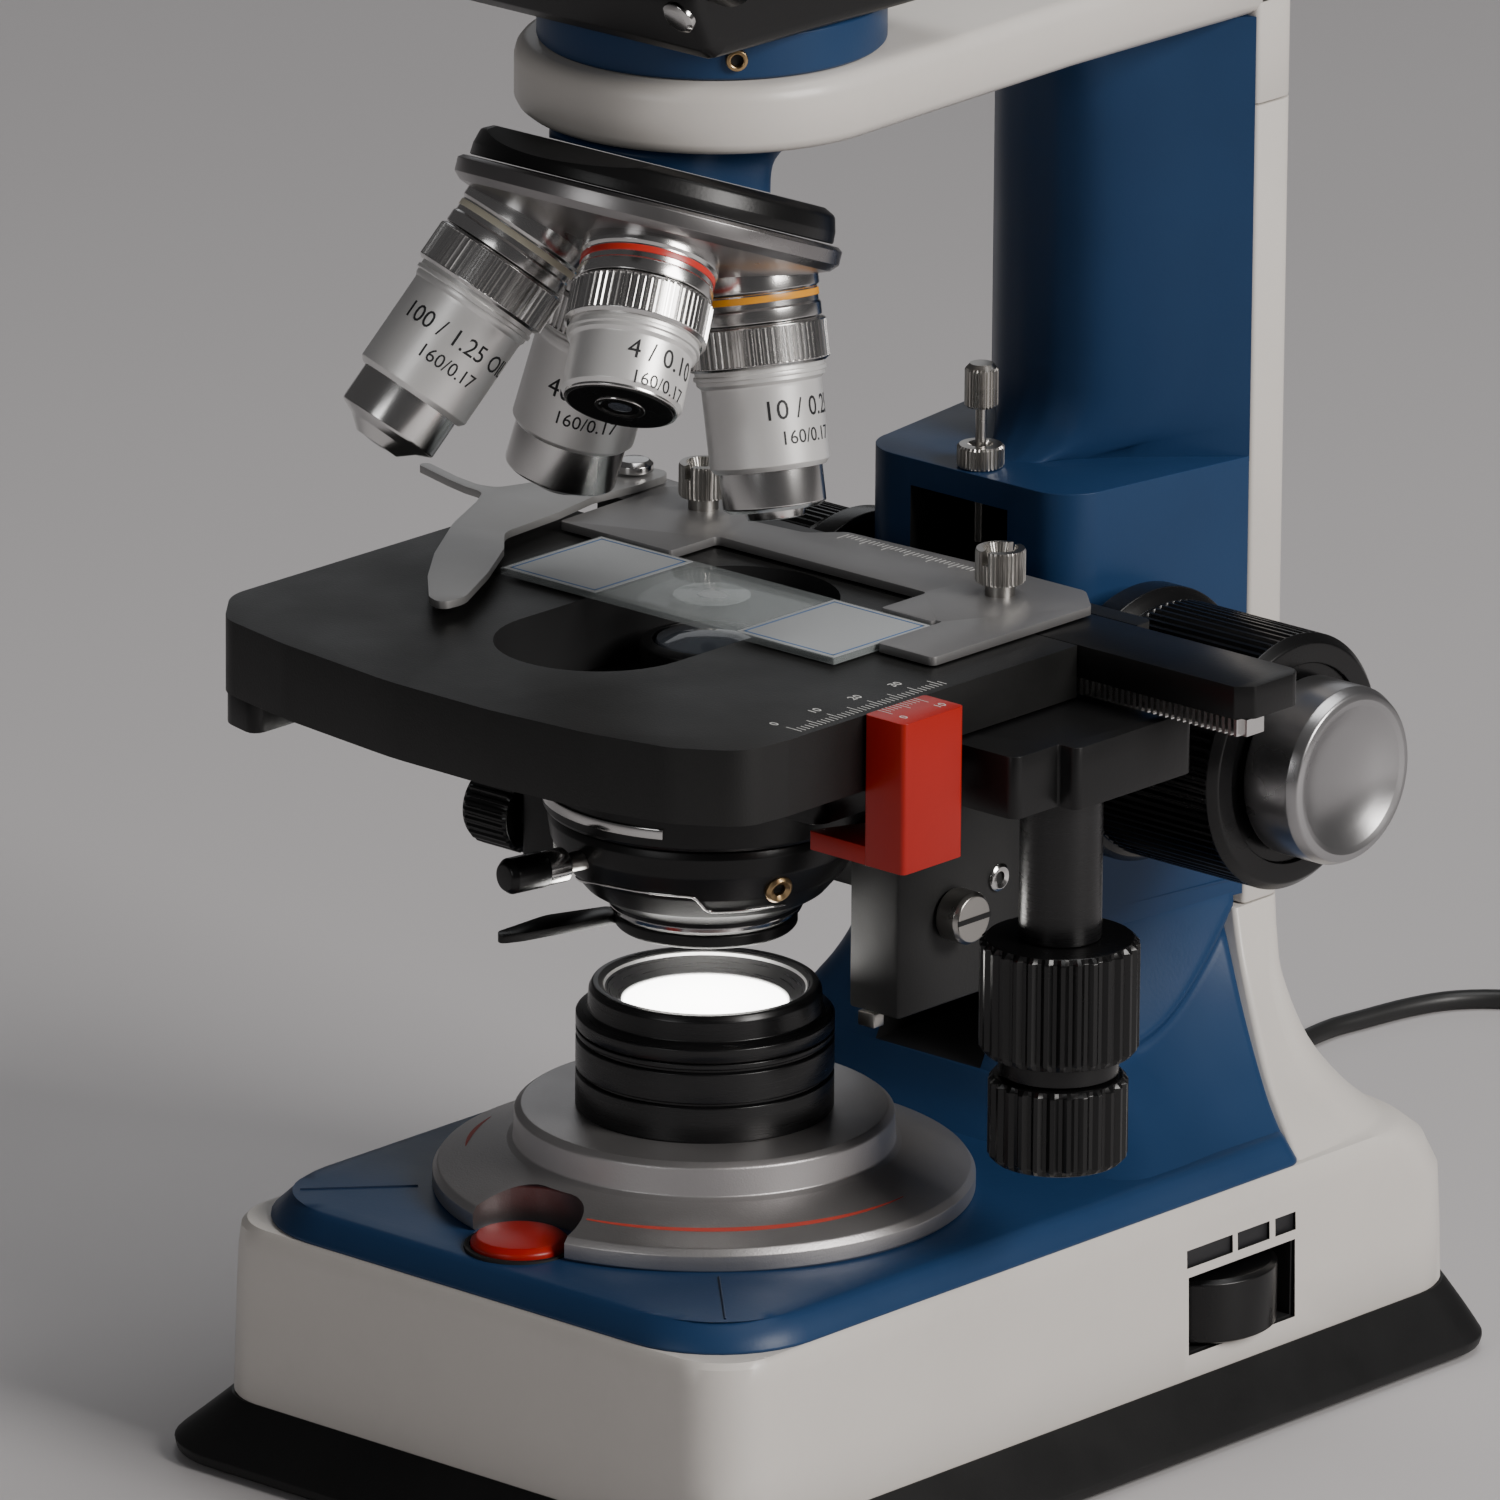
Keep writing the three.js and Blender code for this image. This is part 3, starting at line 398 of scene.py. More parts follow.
def round_rect(x0, x1, y0, y1, front, back=None, n=10):
    """Closed outline, counter-clockwise from the back right corner, n + 1 points a corner and 8 a side."""
    back = front if back is None else back
    pts = []
    for cx, cy, a, r in ((x1 - back, y1 - back, 0, back), (x0 + back, y1 - back, 90, back),
            (x0 + front, y0 + front, 180, front), (x1 - front, y0 + front, 270, front)):
        pts += arc(cx, cy, r, a, a + 90, n)
    return subdivide(pts, n)


def subdivide(pts, n, extra=8):
    out = []
    for i, p in enumerate(pts):
        out.append(p)
        if i % (n + 1) == n:
            q = pts[(i + 1) % len(pts)]
            out += [(p[0] + (q[0] - p[0]) * k / extra, p[1] + (q[1] - p[1]) * k / extra) for k in range(1,
                extra)]
    return out


def spline(keys, steps):
    """Catmull-Rom through rows of numbers, steps points between neighbours."""
    out = []
    for i in range(len(keys) - 1):
        a, b = keys[max(i - 1, 0)], keys[i]
        c, d = keys[i + 1], keys[min(i + 2, len(keys) - 1)]
        for k in range(steps):
            t = k / steps
            out.append(tuple(0.5 * (2 * q + (r - p) * t + (2 * p - 5 * q + 4 * r - s) * t * t
                + (3 * q - p - 3 * r + s) * t ** 3) for p, q, r, s in zip(a, b, c, d)))
    return out + [tuple(keys[-1])]


def carve(obj, *tools, sharp=35):
    """Cut the tools out of a piece; the tools are removed. Both are in the row frame."""
    for tool in tools:
        mod = obj.modifiers.new("cut", "BOOLEAN")
        mod.operation, mod.solver, mod.object = "DIFFERENCE", "EXACT", tool
        # The cut walls take the tool's material, so cutting with the deep material paints shade on the walls
        # of the cut.
        mod.material_mode = "TRANSFER"
    bpy.context.view_layer.update()
    graph = bpy.context.evaluated_depsgraph_get()
    mesh = bpy.data.meshes.new_from_object(obj.evaluated_get(graph))
    obj.modifiers.clear()
    obj.data = mesh
    for tool in tools:
        bpy.data.objects.remove(tool)
    for p in obj.data.polygons:
        p.use_smooth = True
    obj.data.set_sharp_from_angle(angle=math.radians(sharp))
    return obj


def text(name, words, size, mat, body, wrap=None, **more):
    """Printed characters as thin raised mesh. wrap = radius (mm) bends them round local Z, at angle 0."""
    curve = bpy.data.curves.new(name, "FONT")
    curve.body, curve.size, curve.extrude = words, size, 0.03
    curve.align_x = curve.align_y = "CENTER"
    curve.resolution_u = 3
    tmp = bpy.data.objects.new(name + "_tmp", curve)
    bpy.context.scene.collection.objects.link(tmp)
    bpy.context.view_layer.update()
    mesh = bpy.data.meshes.new_from_object(tmp.evaluated_get(bpy.context.evaluated_depsgraph_get()))
    verts = [tuple(v.co) for v in mesh.vertices]
    faces = [tuple(p.vertices) for p in mesh.polygons]
    bpy.data.objects.remove(tmp)
    if wrap:
        verts = [((wrap + z) * math.cos(x / wrap), (wrap + z) * math.sin(x / wrap), y) for x, y, z in verts]
    return piece(name, verts, faces, mat, body, angle=60, **more)


def bars(name, boxes, mat, body, **more):
    """Many small boxes ((x0, x1), (y0, y1), (z0, z1)) as one piece."""
    verts, faces = [], []
    for (x0, x1), (y0, y1), (z0, z1) in boxes:
        i = len(verts)
        verts += [(x, y, z) for z in (z0, z1) for x, y in ((x0, y0), (x1, y0), (x1, y1), (x0, y1))]
        faces += [(i, i + 3, i + 2, i + 1), (i + 4, i + 5, i + 6, i + 7)]
        faces += [(i + k, i + (k + 1) % 4, i + 4 + (k + 1) % 4, i + 4 + k) for k in range(4)]
    return piece(name, verts, faces, mat, body, **more)


# ---- supply lead (made first, with the camera) --------------------------------------------------
LEAD_R = 1.75
LEAD_Z = LEAD_R + 0.05
COIL_X, COIL_Y = 6, 302
ROUTE = [
    (-30, 153, 26), (-30.5, 162, 23), (-33, 174, 13), (-38, 186, 5), (-46, 197, LEAD_Z), (-55, 210, LEAD_Z),
    (-61, 224, LEAD_Z), (-63.6, 239.5, LEAD_Z), (-62.7, 250, LEAD_Z), (-61, 261, LEAD_Z),
    (-57.5, 270, LEAD_Z), (-49.5, 277.5, LEAD_Z), (-36, 283, LEAD_Z), (-22, 284, LEAD_Z),
]


def tube(name, points, radius, mat, body, replaces=(), sides=5):
    """Round cord on one poly spline through millimetre points."""
    curve = bpy.data.curves.new(name, "CURVE")
    curve.dimensions, curve.bevel_depth, curve.bevel_resolution = "3D", radius * MM, sides
    curve.use_fill_caps = True
    line = curve.splines.new("POLY")
    line.points.add(len(points) - 1)
    for p, q in zip(line.points, points):
        p.co = (*[v * MM for v in q], 1)
    line.use_smooth = True
    obj = bpy.data.objects.new(name, curve)
    bpy.context.scene.collection.objects.link(obj)
    curve.materials.append(M[mat])
    return ride(obj, body, replaces)


def coil_points():
    """Lead, three layers of four turns wound in and out, and the point where the tail leaves over the top to
    the adapter.
    """
    pts = spline(ROUTE[:-2] + [(-37, 281.6, LEAD_Z), (-23, 280.2, 2.1), (-8, 277.9, 2.5)], 4)[:-1]
    pitch, per_turn, layer_z, angle = 3.56, 24, (2.7, 6.32, 9.94), 270.0
    widths = [25.35 - pitch * i for i in range(4)]
    for layer, z in enumerate(layer_z):
        inward = layer % 2 == 0
        r0, r1 = (widths[0], widths[3]) if inward else (widths[3], widths[0])
        steps = 3 * per_turn + per_turn // 2
        for k in range(steps):
            r = r0 + (r1 - r0) * k / steps
            pts.append((COIL_X + r * math.cos(math.radians(angle)), COIL_Y + r
                * math.sin(math.radians(angle)), z))
            angle += 360 / per_turn
        rise = per_turn // 2 if layer < 2 else 7
        for k in range(rise):
            t = k / rise
            t = t * t * (3 - 2 * t)
            pts.append((COIL_X + r1 * math.cos(math.radians(angle)), COIL_Y + r1
                * math.sin(math.radians(angle)), z + 3.62 * t))
            angle += 360 / per_turn
    a = math.radians(angle)
    r = widths[3]
    leave = (COIL_X + r * math.cos(a), COIL_Y + r * math.sin(a), layer_z[2] + 3.62)
    return pts, leave


lead_points, leave = coil_points()
tail = spline([leave, (25.5, 300.4, 13.5), (31.0, 306.0, 13.0), (35.2, 309.0, 12.4),
    (39.5, 309.8, 12.0)], 5)
lead_points += tail
supply_lead = tube("supply_lead", lead_points, LEAD_R, "cord", "frame", ("cord_lead", "cord_coil"))


def coil_tie(name, angle):
    """Strap round the bundle of turns."""
    a = math.radians(angle)
    lo, hi, z0, z1, half = 12.6, 27.6, 0.2, 12.6, 3.2
    outline = fillet([(lo, z0, 2), (hi, z0, 2), (hi, z1, 2.5), (lo, z1, 2.5)], closed=True)
    inner = fillet([(lo + 0.7, z0 + 0.7, 1.5), (hi - 0.7, z0 + 0.7, 1.5), (hi - 0.7, z1 - 0.7, 2),
        (lo + 0.7, z1 - 0.7, 2)], closed=True)
    n = len(outline)
    ring = [(r, -half, z) for r, z in outline] + [(r, half, z) for r, z in outline]
    ring += [(r, -half, z) for r, z in inner] + [(r, half, z) for r, z in inner]
    turned = [(COIL_X + x * math.cos(a) - y * math.sin(a), COIL_Y + x * math.sin(a) + y * math.cos(a),
        z) for x, y, z in ring]
    faces = []
    for k in range(n):
        m = (k + 1) % n
        faces += [(k, m, n + m, n + k), (2 * n + k, 3 * n + k, 3 * n + m, 2 * n + m),
            (k, 2 * n + k, 2 * n + m, m), (n + k, n + m, 3 * n + m, 3 * n + k)]
    return piece(name, turned, faces, "rubber", "frame", bevel=0.2)


tie = coil_tie("coil_tie", 120)

PLUG_Y = 134.5
plug = lathe("supply_plug", [(0, -8.6), (2.7, -8.6, 0.3), (2.7, 0.4), (4.6, 0.6, 0.5), (4.8, 9, 0.6),
    (4.1, 12, 0.6), (3.9, 12.4), (3.2, 18.2, 0.3), (0, 18.5)], "plastic", "frame", (-30, PLUG_Y, 26),
    (0, 1, 0), replaces="dc_plug", slot="cord_jacket")
relief_rings = lathe("plug_relief", [(3.4, 12.8), (4.1, 13.0, 0.2), (4.1, 14.0, 0.2), (3.3, 14.2),
    (3.3, 15.0), (3.9, 15.2, 0.2), (3.9, 16.2, 0.2), (3.1, 16.4), (3.0, 12.9), (3.4, 12.8)], "rubber",
    "frame", (-30, PLUG_Y, 26), (0, 1, 0), slot="cord_jacket")


def wall_adapter():
    body = prism("adapter_body", [(38, 301, 4), (86, 301, 4), (86, 335, 4), (38, 335, 4)], 0.1, 27,
        "plastic", "frame", bevel=1.6, bevel_steps=3, replaces="wall_adapter")
    seam = prism("adapter_seam", [(37.9, 300.9, 4), (86.1, 300.9, 4), (86.1, 335.1, 4), (37.9, 335.1, 4)],
        13.2, 13.7, "deep", "frame", slot="black_plastic")
    sleeve = lathe("adapter_sleeve", [(0, 0), (3.4, 0, 0.4), (2.4, 5.6, 0.4), (0, 5.8)], "rubber", "frame",
        (38.6, 309.8, 12), (-1, 0, 0), slot="cord_jacket")
    pins = [lathe(f"adapter_pin_{i}", [(0, 0), (2.4, 0), (2.4, 17.5, 1.6), (0, 18)], "chrome", "frame",
        (62 + x, 334.8, 12.5), (0, 1, 0), segments=32) for i, x in ((1, -9.5), (2, 9.5))]
    return [body, seam, sleeve, *pins]


adapter = wall_adapter()


# ---- base ---------------------------------------------------------------------------------------
BASE_HX, BASE_Y0, BASE_Y1 = 58.5, -59, 133.5
RIM_Z, PANEL_Z = 42.3, 47
BUTTON = (-1.5, -44.5)


def base_ring(z, grow, front, back_y, back_r):
    return [(x, y, z) for x, y in round_rect(-BASE_HX - grow, BASE_HX + grow, BASE_Y0 - grow, back_y,
        front, back_r)]


def base_skirt():
    keys = [(0.7, 8.0, 14, 0.4, 12), (1.2, 9.0, 15, 0.9, 12.5), (2.6, 9.3, 15, 1.1, 12.5),
        (3.4, 8.8, 14, 1.0, 12.5), (6.0, 6.2, 13, 0.9, 12.5), (9.6, 2.5, 11, 0.8, 13),
        (11.1, 1.0, 10, 0.8, 13.5)]
    rings = [base_ring(z, g, f, BASE_Y1 + b, r) for z, g, f, b, r in spline(keys, 4)]
    loft("skirt", rings, "skirt", "frame", replaces="base_skirt")
    for i, (x, y) in enumerate(((-46, -46), (46, -46), (-44, 118), (44, 118)), 1):
        lathe(f"foot_{i}", [(0, 0.02), (9, 0.02, 0.6), (9.6, 1.4), (0, 1.4)], "rubber", "frame", (x, y, 0))


def sweep_ring(z, front_hx, front_y, back_hx, back_y, back_r):
    """Ring with the same point order as base_ring, narrower at the back."""
    back = max(back_r, 1)
    pts = []
    for cx, cy, a, r in ((back_hx - back, back_y - back, 0, back),
            (-back_hx + back, back_y - back, 90, back), (-front_hx + 1, front_y + 1, 180, 1),
            (front_hx - 1, front_y + 1, 270, 1)):
        pts += arc(cx, cy, r, a, a + 90, 10)
    return [(x, y, z) for x, y in subdivide(pts, 10)]


def base_shell():
    low = [(10.9, 0.7, 11, BASE_Y1, 14), (11.5, 1.0, 11, BASE_Y1 + 0.4, 14),
        (22, 0.8, 11, BASE_Y1 + 0.2, 14), (32, 0.6, 11, BASE_Y1 - 0.4, 14),
        (38, 0.4, 11, BASE_Y1 - 3.2, 15.5), (41.2, 0.1, 11, BASE_Y1 - 7, 17),
        (42.2, -0.6, 11, BASE_Y1 - 8.6, 17.6)]
    rings = [base_ring(*k) for k in low]
    high = [(42.5, 57.3, 88.6, 56, 124.3, 18), (47, 53.2, 90.2, 50.5, 120.2, 16),
        (54, 45.4, 94.2, 41.6, 117.6, 12), (64, 37.2, 99.2, 34, 116.7, 8),
        (71.5, 32.6, 101.8, 31, 116.5, 5), (78.4, 29.8, 103.4, 29.6, 116.5, 3.5)]
    rings += [sweep_ring(*k) for k in spline(high, 5)]
    shell = loft("shell", rings, "white", "frame", replaces="base_shell", angle=42)
    # The window, slots and jack hole take the deep material on their walls: painted shade inside the white
    # shell.
    window = block("window_cut", (50, 62), (58, 86), (15.5, 29.5), "deep", "frame", bevel=0)
    slots = [block(f"slot_cut{i}", (56.6, 62), y, (31.2, 34.4), "deep", "frame", bevel=0) for i,
        y in enumerate(((57.6, 69.6), (70.9, 79.3), (80.8, 86.2)))]
    jack = lathe("jack_cut", [(0, 0), (6.4, 0), (6.4, 30), (0, 30)], "deep", "frame", (-30, 118, 26),
        (0, 1, 0))
    carve(shell, window, *slots, jack)


base_skirt()
base_shell()


def panel_height(x, y):
    """Top of the panel: four shallow slopes that rise from its edges and meet in creases at the corners."""
    return PANEL_Z - 0.35 + 0.03 * max(0.0, min(BASE_HX - 4 - abs(x), y + 54.4, 20))


def base_panel():
    edge = [(RIM_Z - 0.6, -1.2), (RIM_Z + 0.1, -0.6), (RIM_Z + 0.5, -0.62), (PANEL_Z - 1.2, -3.3),
        (PANEL_Z - 0.5, -4.1)]
    rings = []
    for z, grow in edge:
        rings.append([(x, y, z) for x, y in round_rect(-BASE_HX - grow, BASE_HX + grow, BASE_Y0 - grow,
            90.2, 21 + grow / 2, 4)])
    for inset in (5.2, 8, 12, 17, 23, 30, 38, 46):
        ring = round_rect(-BASE_HX + inset, BASE_HX - inset, BASE_Y0 + inset, 90.2, max(19 - inset, 0.4), 4)
        rings.append([(x, y, panel_height(x, y)) for x, y in ring])
    loft("panel", rings, "blue", "frame", replaces="base_panel", angle=50)
    # Each crease gets a thin darker blue line: painted shade along the crease.
    for sx in (-1, 1):
        crease = []
        for k in range(12):
            d = 6.4 + 15.4 * k / 11
            x, y = sx * (BASE_HX - 4 - d * 0.92), -54.4 + d * 0.92
            crease.append((x, y, panel_height(x, y) + 0.02))
        tube(f"panel_crease_{'left' if sx < 0 else 'right'}", crease, 0.2, "blue_line", "frame", sides=2)


FOOT = [(46, 53.6, 53.6, 47, 91, 8), (51, 46, 48, 55, 93.6, 8), (60, 36, 40, 60.5, 98.2, 8),
    (69, 29.5, 34, 63.6, 102, 8), (80.5, 24.75, 29.3, 65.05, 105.4, 8.4),
    (84, 24.75, 29.33, 65.05, 105.6, 8.4)]


def column_foot():
    """Blue foot that carries the panel up into the column, with a swept ridge along each side."""
    rings = []
    for z, front_hx, back_hx, y0, y1, r in spline(FOOT, 12):
        right = arc(front_hx - r, y0 + r, r, 270, 360, 12)
        right += [(front_hx + (back_hx - front_hx) * k / 28, y0 + r + (y1 - 2 - y0 - r) * k / 28)
            for k in range(1, 29)]
        right.append((back_hx - 2, y1))
        swept = []
        for x, y in right:
            ridge = 63 + 0.0135 * (y - 68) ** 2
            below = max(0.0, ridge - z)
            step = min(1.0, below / 3.2)
            depth = 2.9 * step * step * (3 - 2 * step) * math.exp(-max(0.0, below - 3.2) / 8)
            swept.append((x - depth * min(1.0, max(0.0, (y - 64) / 9)), y))
        ring = swept + [(-x, y) for x, y in reversed(swept)]
        rings.append([(x, y, z) for x, y in ring])
    foot = loft("column_foot", rings, "blue", "frame", angle=60)
    # The slot's walls take the deep material: painted shade inside the blue foot.
    slot = block("foot_slot", (-13, 11), (56, 97), (56, 90), "deep", "frame", bevel=0)
    carve(foot, slot, sharp=75)


def column():
    """Focusing block, its filleted top and the prow-shaped upper column."""
    hx, y0 = 24.8, 65
    front = [(x, y) for x, y in round_rect(-hx, hx, y0, y0 + 30, 8.5) if y < y0 + 10]
    outline = [*front, (29.4, 105.7), (-29.4, 105.7)]
    base = prism("focus_block", outline, 80.6, 159.3, "blue", "frame", bevel=2.2, bevel_steps=5,
        replaces="column")
    # The slot and stop hole take the deep material on their walls: painted shade inside the blue block.
    slot = block("block_slot", (-12, 10), (60, 97), (74, 154.5), "deep", "frame", bevel=0)
    hole = lathe("stop_hole", [(0, 150), (2.2, 150), (2.2, 166), (0, 166)], "deep", "frame",
        (-0.2, 69.6, 0))
    carve(base, slot, hole)
    keys = [(29.4, 105.7), (24, 99.8), (17, 92), (11, 86.6), (5, 84.4), (0, 84), (-5, 84.4), (-11, 86.6),
        (-17, 92), (-24, 99.8), (-29.4, 105.7)]
    prow = spline(keys, 6)
    rings = []
    for z, grow, lift in ((158.4, 12, 0), (158.9, 9.5, 1), (159.6, 7.4, 0.95), (160.8, 5.2, 0.85),
            (162.6, 3.2, 0.7), (165, 1.6, 0.5), (168, 0.6, 0.25), (171, 0.1, 0.1), (180, 0, 0),
            (200, 0, 0), (216, 0, 0), (226, 0.6, 0), (232, 2, 0), (235.4, 4, 0), (237.2, 6.8, 0)):
        ring = []
        for i, (x, y) in enumerate(prow):
            k = min(1.0, max(0.0, (105.7 - y) / 8))
            a, b = Vector(prow[max(i - 1, 0)]), Vector(prow[min(i + 1, len(prow) - 1)])
            t = (b - a).normalized()
            raised = z + lift * 6.5 * max(0.0, (y - 86) / 19.7) ** 2
            ring.append((x + t.y * grow * k, y - abs(t.x) * grow * k, raised))
        ring.append((0, 105.7, z + lift * 6.5))
        rings.append(ring)
    loft("upper_column", rings, "blue", "frame", angle=50)


def spine_and_arm():
    prism("spine", [(-29.6, 106, 1), (29.6, 106, 1), (29.6, 116.5, 3.5), (-29.6, 116.5, 3.5)], 78.7, 221.4,
        "white", "frame", bevel=0.35, replaces="rear_spine")
    outline = arc(0, 0, 33, 180, 360, 48)
    rings = []
    for z, inset in ((237.4, 2.6), (237.6, 1.6), (238.4, 0.6), (239.6, 0), (246.4, 0), (247.8, 0.4),
            (248.8, 1.2), (249.35, 2.4)):
        k = (33 - inset) / 33
        ring = [(x * k, y * k) for x, y in outline]
        ring += [(29.6 - inset, 60), (29.6 - inset, 113 - inset), (26.6 - inset, 116.5 - inset)]
        ring += [(-26.6 + inset, 116.5 - inset), (-29.6 + inset, 113 - inset), (-29.6 + inset, 60)]
        rings.append([(x, y, z) for x, y in ring])
    loft("arm", rings, "white", "frame", replaces="arm_cap", angle=50)
    prism("arm_heel", [(-29.6, 106, 1), (29.6, 106, 1), (29.6, 116.5, 3.5), (-29.6, 116.5, 3.5)], 221.8,
        243, "white", "frame", bevel=0.35)


base_panel()
column_foot()
column()
spine_and_arm()


# ---- lamp ---------------------------------------------------------------------------------------
def lamp():
    flange = lathe("flange", [(0, 46.6), (45.2, 46.6), (46.2, 47.4, 0.4), (46.2, 50, 0.5),
        (45.4, 51.2, 0.8), (33.6, 55.3, 0.5), (32.5, 55.9, 0.5), (32.4, 60.8, 0.7), (31.2, 61.7, 0.6),
        (0, 61.7)], "bead", "frame", replaces="lamp_flange", segments=160)
    # The scoop tool carries the darker scoop metal; the carve gives it to the cut walls as painted shade.
    scoop = lathe("scoop", [(0, 40), (10.8, 40), (10.8, 54.6, 1.2), (0, 54.6)], "scoop", "frame",
        (*BUTTON, 0), segments=96)
    carve(flange, scoop)
    lathe("collar", [(0, 61.5), (21.7, 61.5), (22, 62, 0.2), (22, 67.9, 0.3), (21.3, 68.2), (21.3, 68.5),
        (22, 68.8, 0.3), (22, 73.9, 0.3), (21.3, 74.2), (21.3, 74.5), (22, 74.8, 0.3), (22, 75.7, 0.2),
        (0, 75.7)], "dark_satin", "frame", replaces="lamp_collar", segments=128, slot="satin_metal")
    lathe("focus_ring", [(18.4, 75.9), (21.8, 75.9), (22, 76.2), (22, 78.2, 0.3), (21.5, 78.6),
        (20, 79.1, 0.3), (19.8, 82.4, 0.8), (19.2, 83.5, 0.5), (18.2, 83.6, 0.3), (17.5, 83.1, 0.2),
        (17, 82.4), (14.3, 80.3), (14.2, 78.4), (18.4, 78.4), (18.4, 75.9)], "dark_satin", "field_focus",
        replaces="field_ring", segments=128, slot="satin_metal")
    lathe("focus_funnel", [(17.3, 82.9), (16.6, 81.7, 0.5), (14.2, 80.1), (14.1, 79.6), (16.8, 81.2),
        (17.3, 82.9)], "satin", "field_focus", segments=128)
    lathe("lamp_window", [(0, 78.2), (14, 78.2), (14, 80.0, 0.4), (11, 80.3), (6, 80.6), (0, 80.7)],
        "glow", "frame", replaces="field_lens", segments=96)
    lathe("button", [(0, 45), (8.2, 45), (8.4, 45.4), (8.4, 47.9, 0.8), (7.4, 48.8, 0.8), (4, 49.1),
        (0, 49.2)], "red", "button", (*BUTTON, 0), replaces="power_button")
    lathe("button_well", [(8.55, 46.4), (9.6, 46.4), (9.5, 47.2), (8.6, 47.2), (8.55, 46.4)], "deep",
        "frame", (*BUTTON, 0), slot="black_plastic")
    for name, r, spans in (("left", 40.6, (196, 219)), ("right", 40.6, (283, 368))):
        n = 40
        verts, faces = [], []
        for k in range(n + 1):
            a = math.radians(spans[0] + (spans[1] - spans[0]) * k / n)
            half = 0.45 * math.sin(PI * (0.08 + 0.9 * k / n)) + 0.06
            for rr in (r - half, r + half):
                z = 51.2 + (45.4 - rr) * (55.3 - 51.2) / (45.4 - 33.6) + 0.03
                verts.append((rr * math.cos(a), rr * math.sin(a), z))
        for k in range(n):
            faces.append((2 * k, 2 * k + 1, 2 * k + 3, 2 * k + 2))
        piece(f"flange_mark_{name}", verts, faces, "red_mark", "frame")


def dimmer():
    lathe("dimmer", [(0, 16), (13.4, 16, 0.4), (14.4, 16.6, 0.4), (14.4, 27, 0.4), (13.4, 27.6, 0.4),
        (0, 27.6)], "plastic", "dimmer", (48.3, 72, 0), teeth=(16.9, 26.7, 40, 0.2),
        replaces="dimmer_wheel", angle=25)
    liner = block("dimmer_well", (49.6, 58.5), (57.7, 86.3), (15.2, 29.8), "deep", "frame", bevel=0,
        slot="black_plastic")
    room = block("dimmer_room", (50.4, 60), (58.4, 85.6), (15.75, 29.25), "deep", "frame", bevel=0)
    carve(liner, room)
    block("dimmer_scale", (57.4, 58.5), (57, 87), (30.8, 34.8), "print", "frame", bevel=0.1)


lamp()
dimmer()
lathe("jack", [(3.3, 0), (6.2, 0), (6.2, 10.6, 0.5), (3.3, 10.6, 0.4), (3.3, 0)], "plastic", "frame",
    (-30, BASE_Y1 - 10, 26), (0, 1, 0), replaces="dc_jack")


# ---- nosepiece ----------------------------------------------------------------------------------
TILT = math.radians(20.6)
APEX = (0, 0, 263.4)
TURRET_AXIS = (0, -math.sin(TILT), -math.cos(TILT))
SEAT, TURN = 54.8, 43.2


def objective_axis(turn):
    t, s, c = math.radians(turn), math.sin(TILT), math.cos(TILT)
    return Vector((s * math.sin(t), -s * c + s * c * math.cos(t), -c * c - s * s * math.cos(t)))


def nosepiece():
    rings = []
    low_c = Vector(APEX) + Vector(TURRET_AXIS) * 36.2
    side, fore = Vector((1, 0, 0)), Vector(TURRET_AXIS).cross(Vector((1, 0, 0)))
    for t in [k / 10 for k in range(11)]:
        ring = []
        for k in range(72):
            a = 2 * PI * k / 72
            top = Vector((25 * math.cos(a), -2 + 25 * math.sin(a), 237.1))
            bottom = low_c + side * (19 * math.cos(a)) - fore * (19 * math.sin(a))
            if bottom.z > 237:
                bottom.z = 237
            e = 1 - (1 - t) ** 4
            flat = top * (1 - e) + bottom * e
            ring.append((flat.x, flat.y, top.z * (1 - t) + bottom.z * t))
        rings.append(ring)
    loft("boss", rings, "blue", "frame", replaces="nosepiece_boss", angle=50)
    cap = lathe("cap", [(0, 36.4), (28.4, 36.4, 0.6), (30.4, 37.4, 1.2), (31.1, 40, 1), (31.2, 42, 0.3),
        (0, 42)], "black", "frame", APEX, TURRET_AXIS, replaces="turret_cap", segments=128)
    above = block("cap_cut", (-60, 60), (-60, 60), (237.2, 280), "deep", "frame", bevel=0)
    carve(cap, above)
    lathe("turret", [(0, 42.3), (32.2, 42.3, 0.3), (33, 42.9, 0.2), (33, 45.2, 0.2), (31.8, 46.5, 0.3),
        (24, 49.6, 2), (8, 54.6, 2), (0, 55.4)], "turret", "turret", APEX, TURRET_AXIS,
        replaces="turret_plate", segments=144, angle=35)
    lathe("turret_nut", [(0, 54), (4.6, 54), (4.6, 56, 0.5), (3.6, 56.5, 0.3), (0, 56.5)], "chrome",
        "turret", APEX, TURRET_AXIS, segments=48, slot="satin_metal")


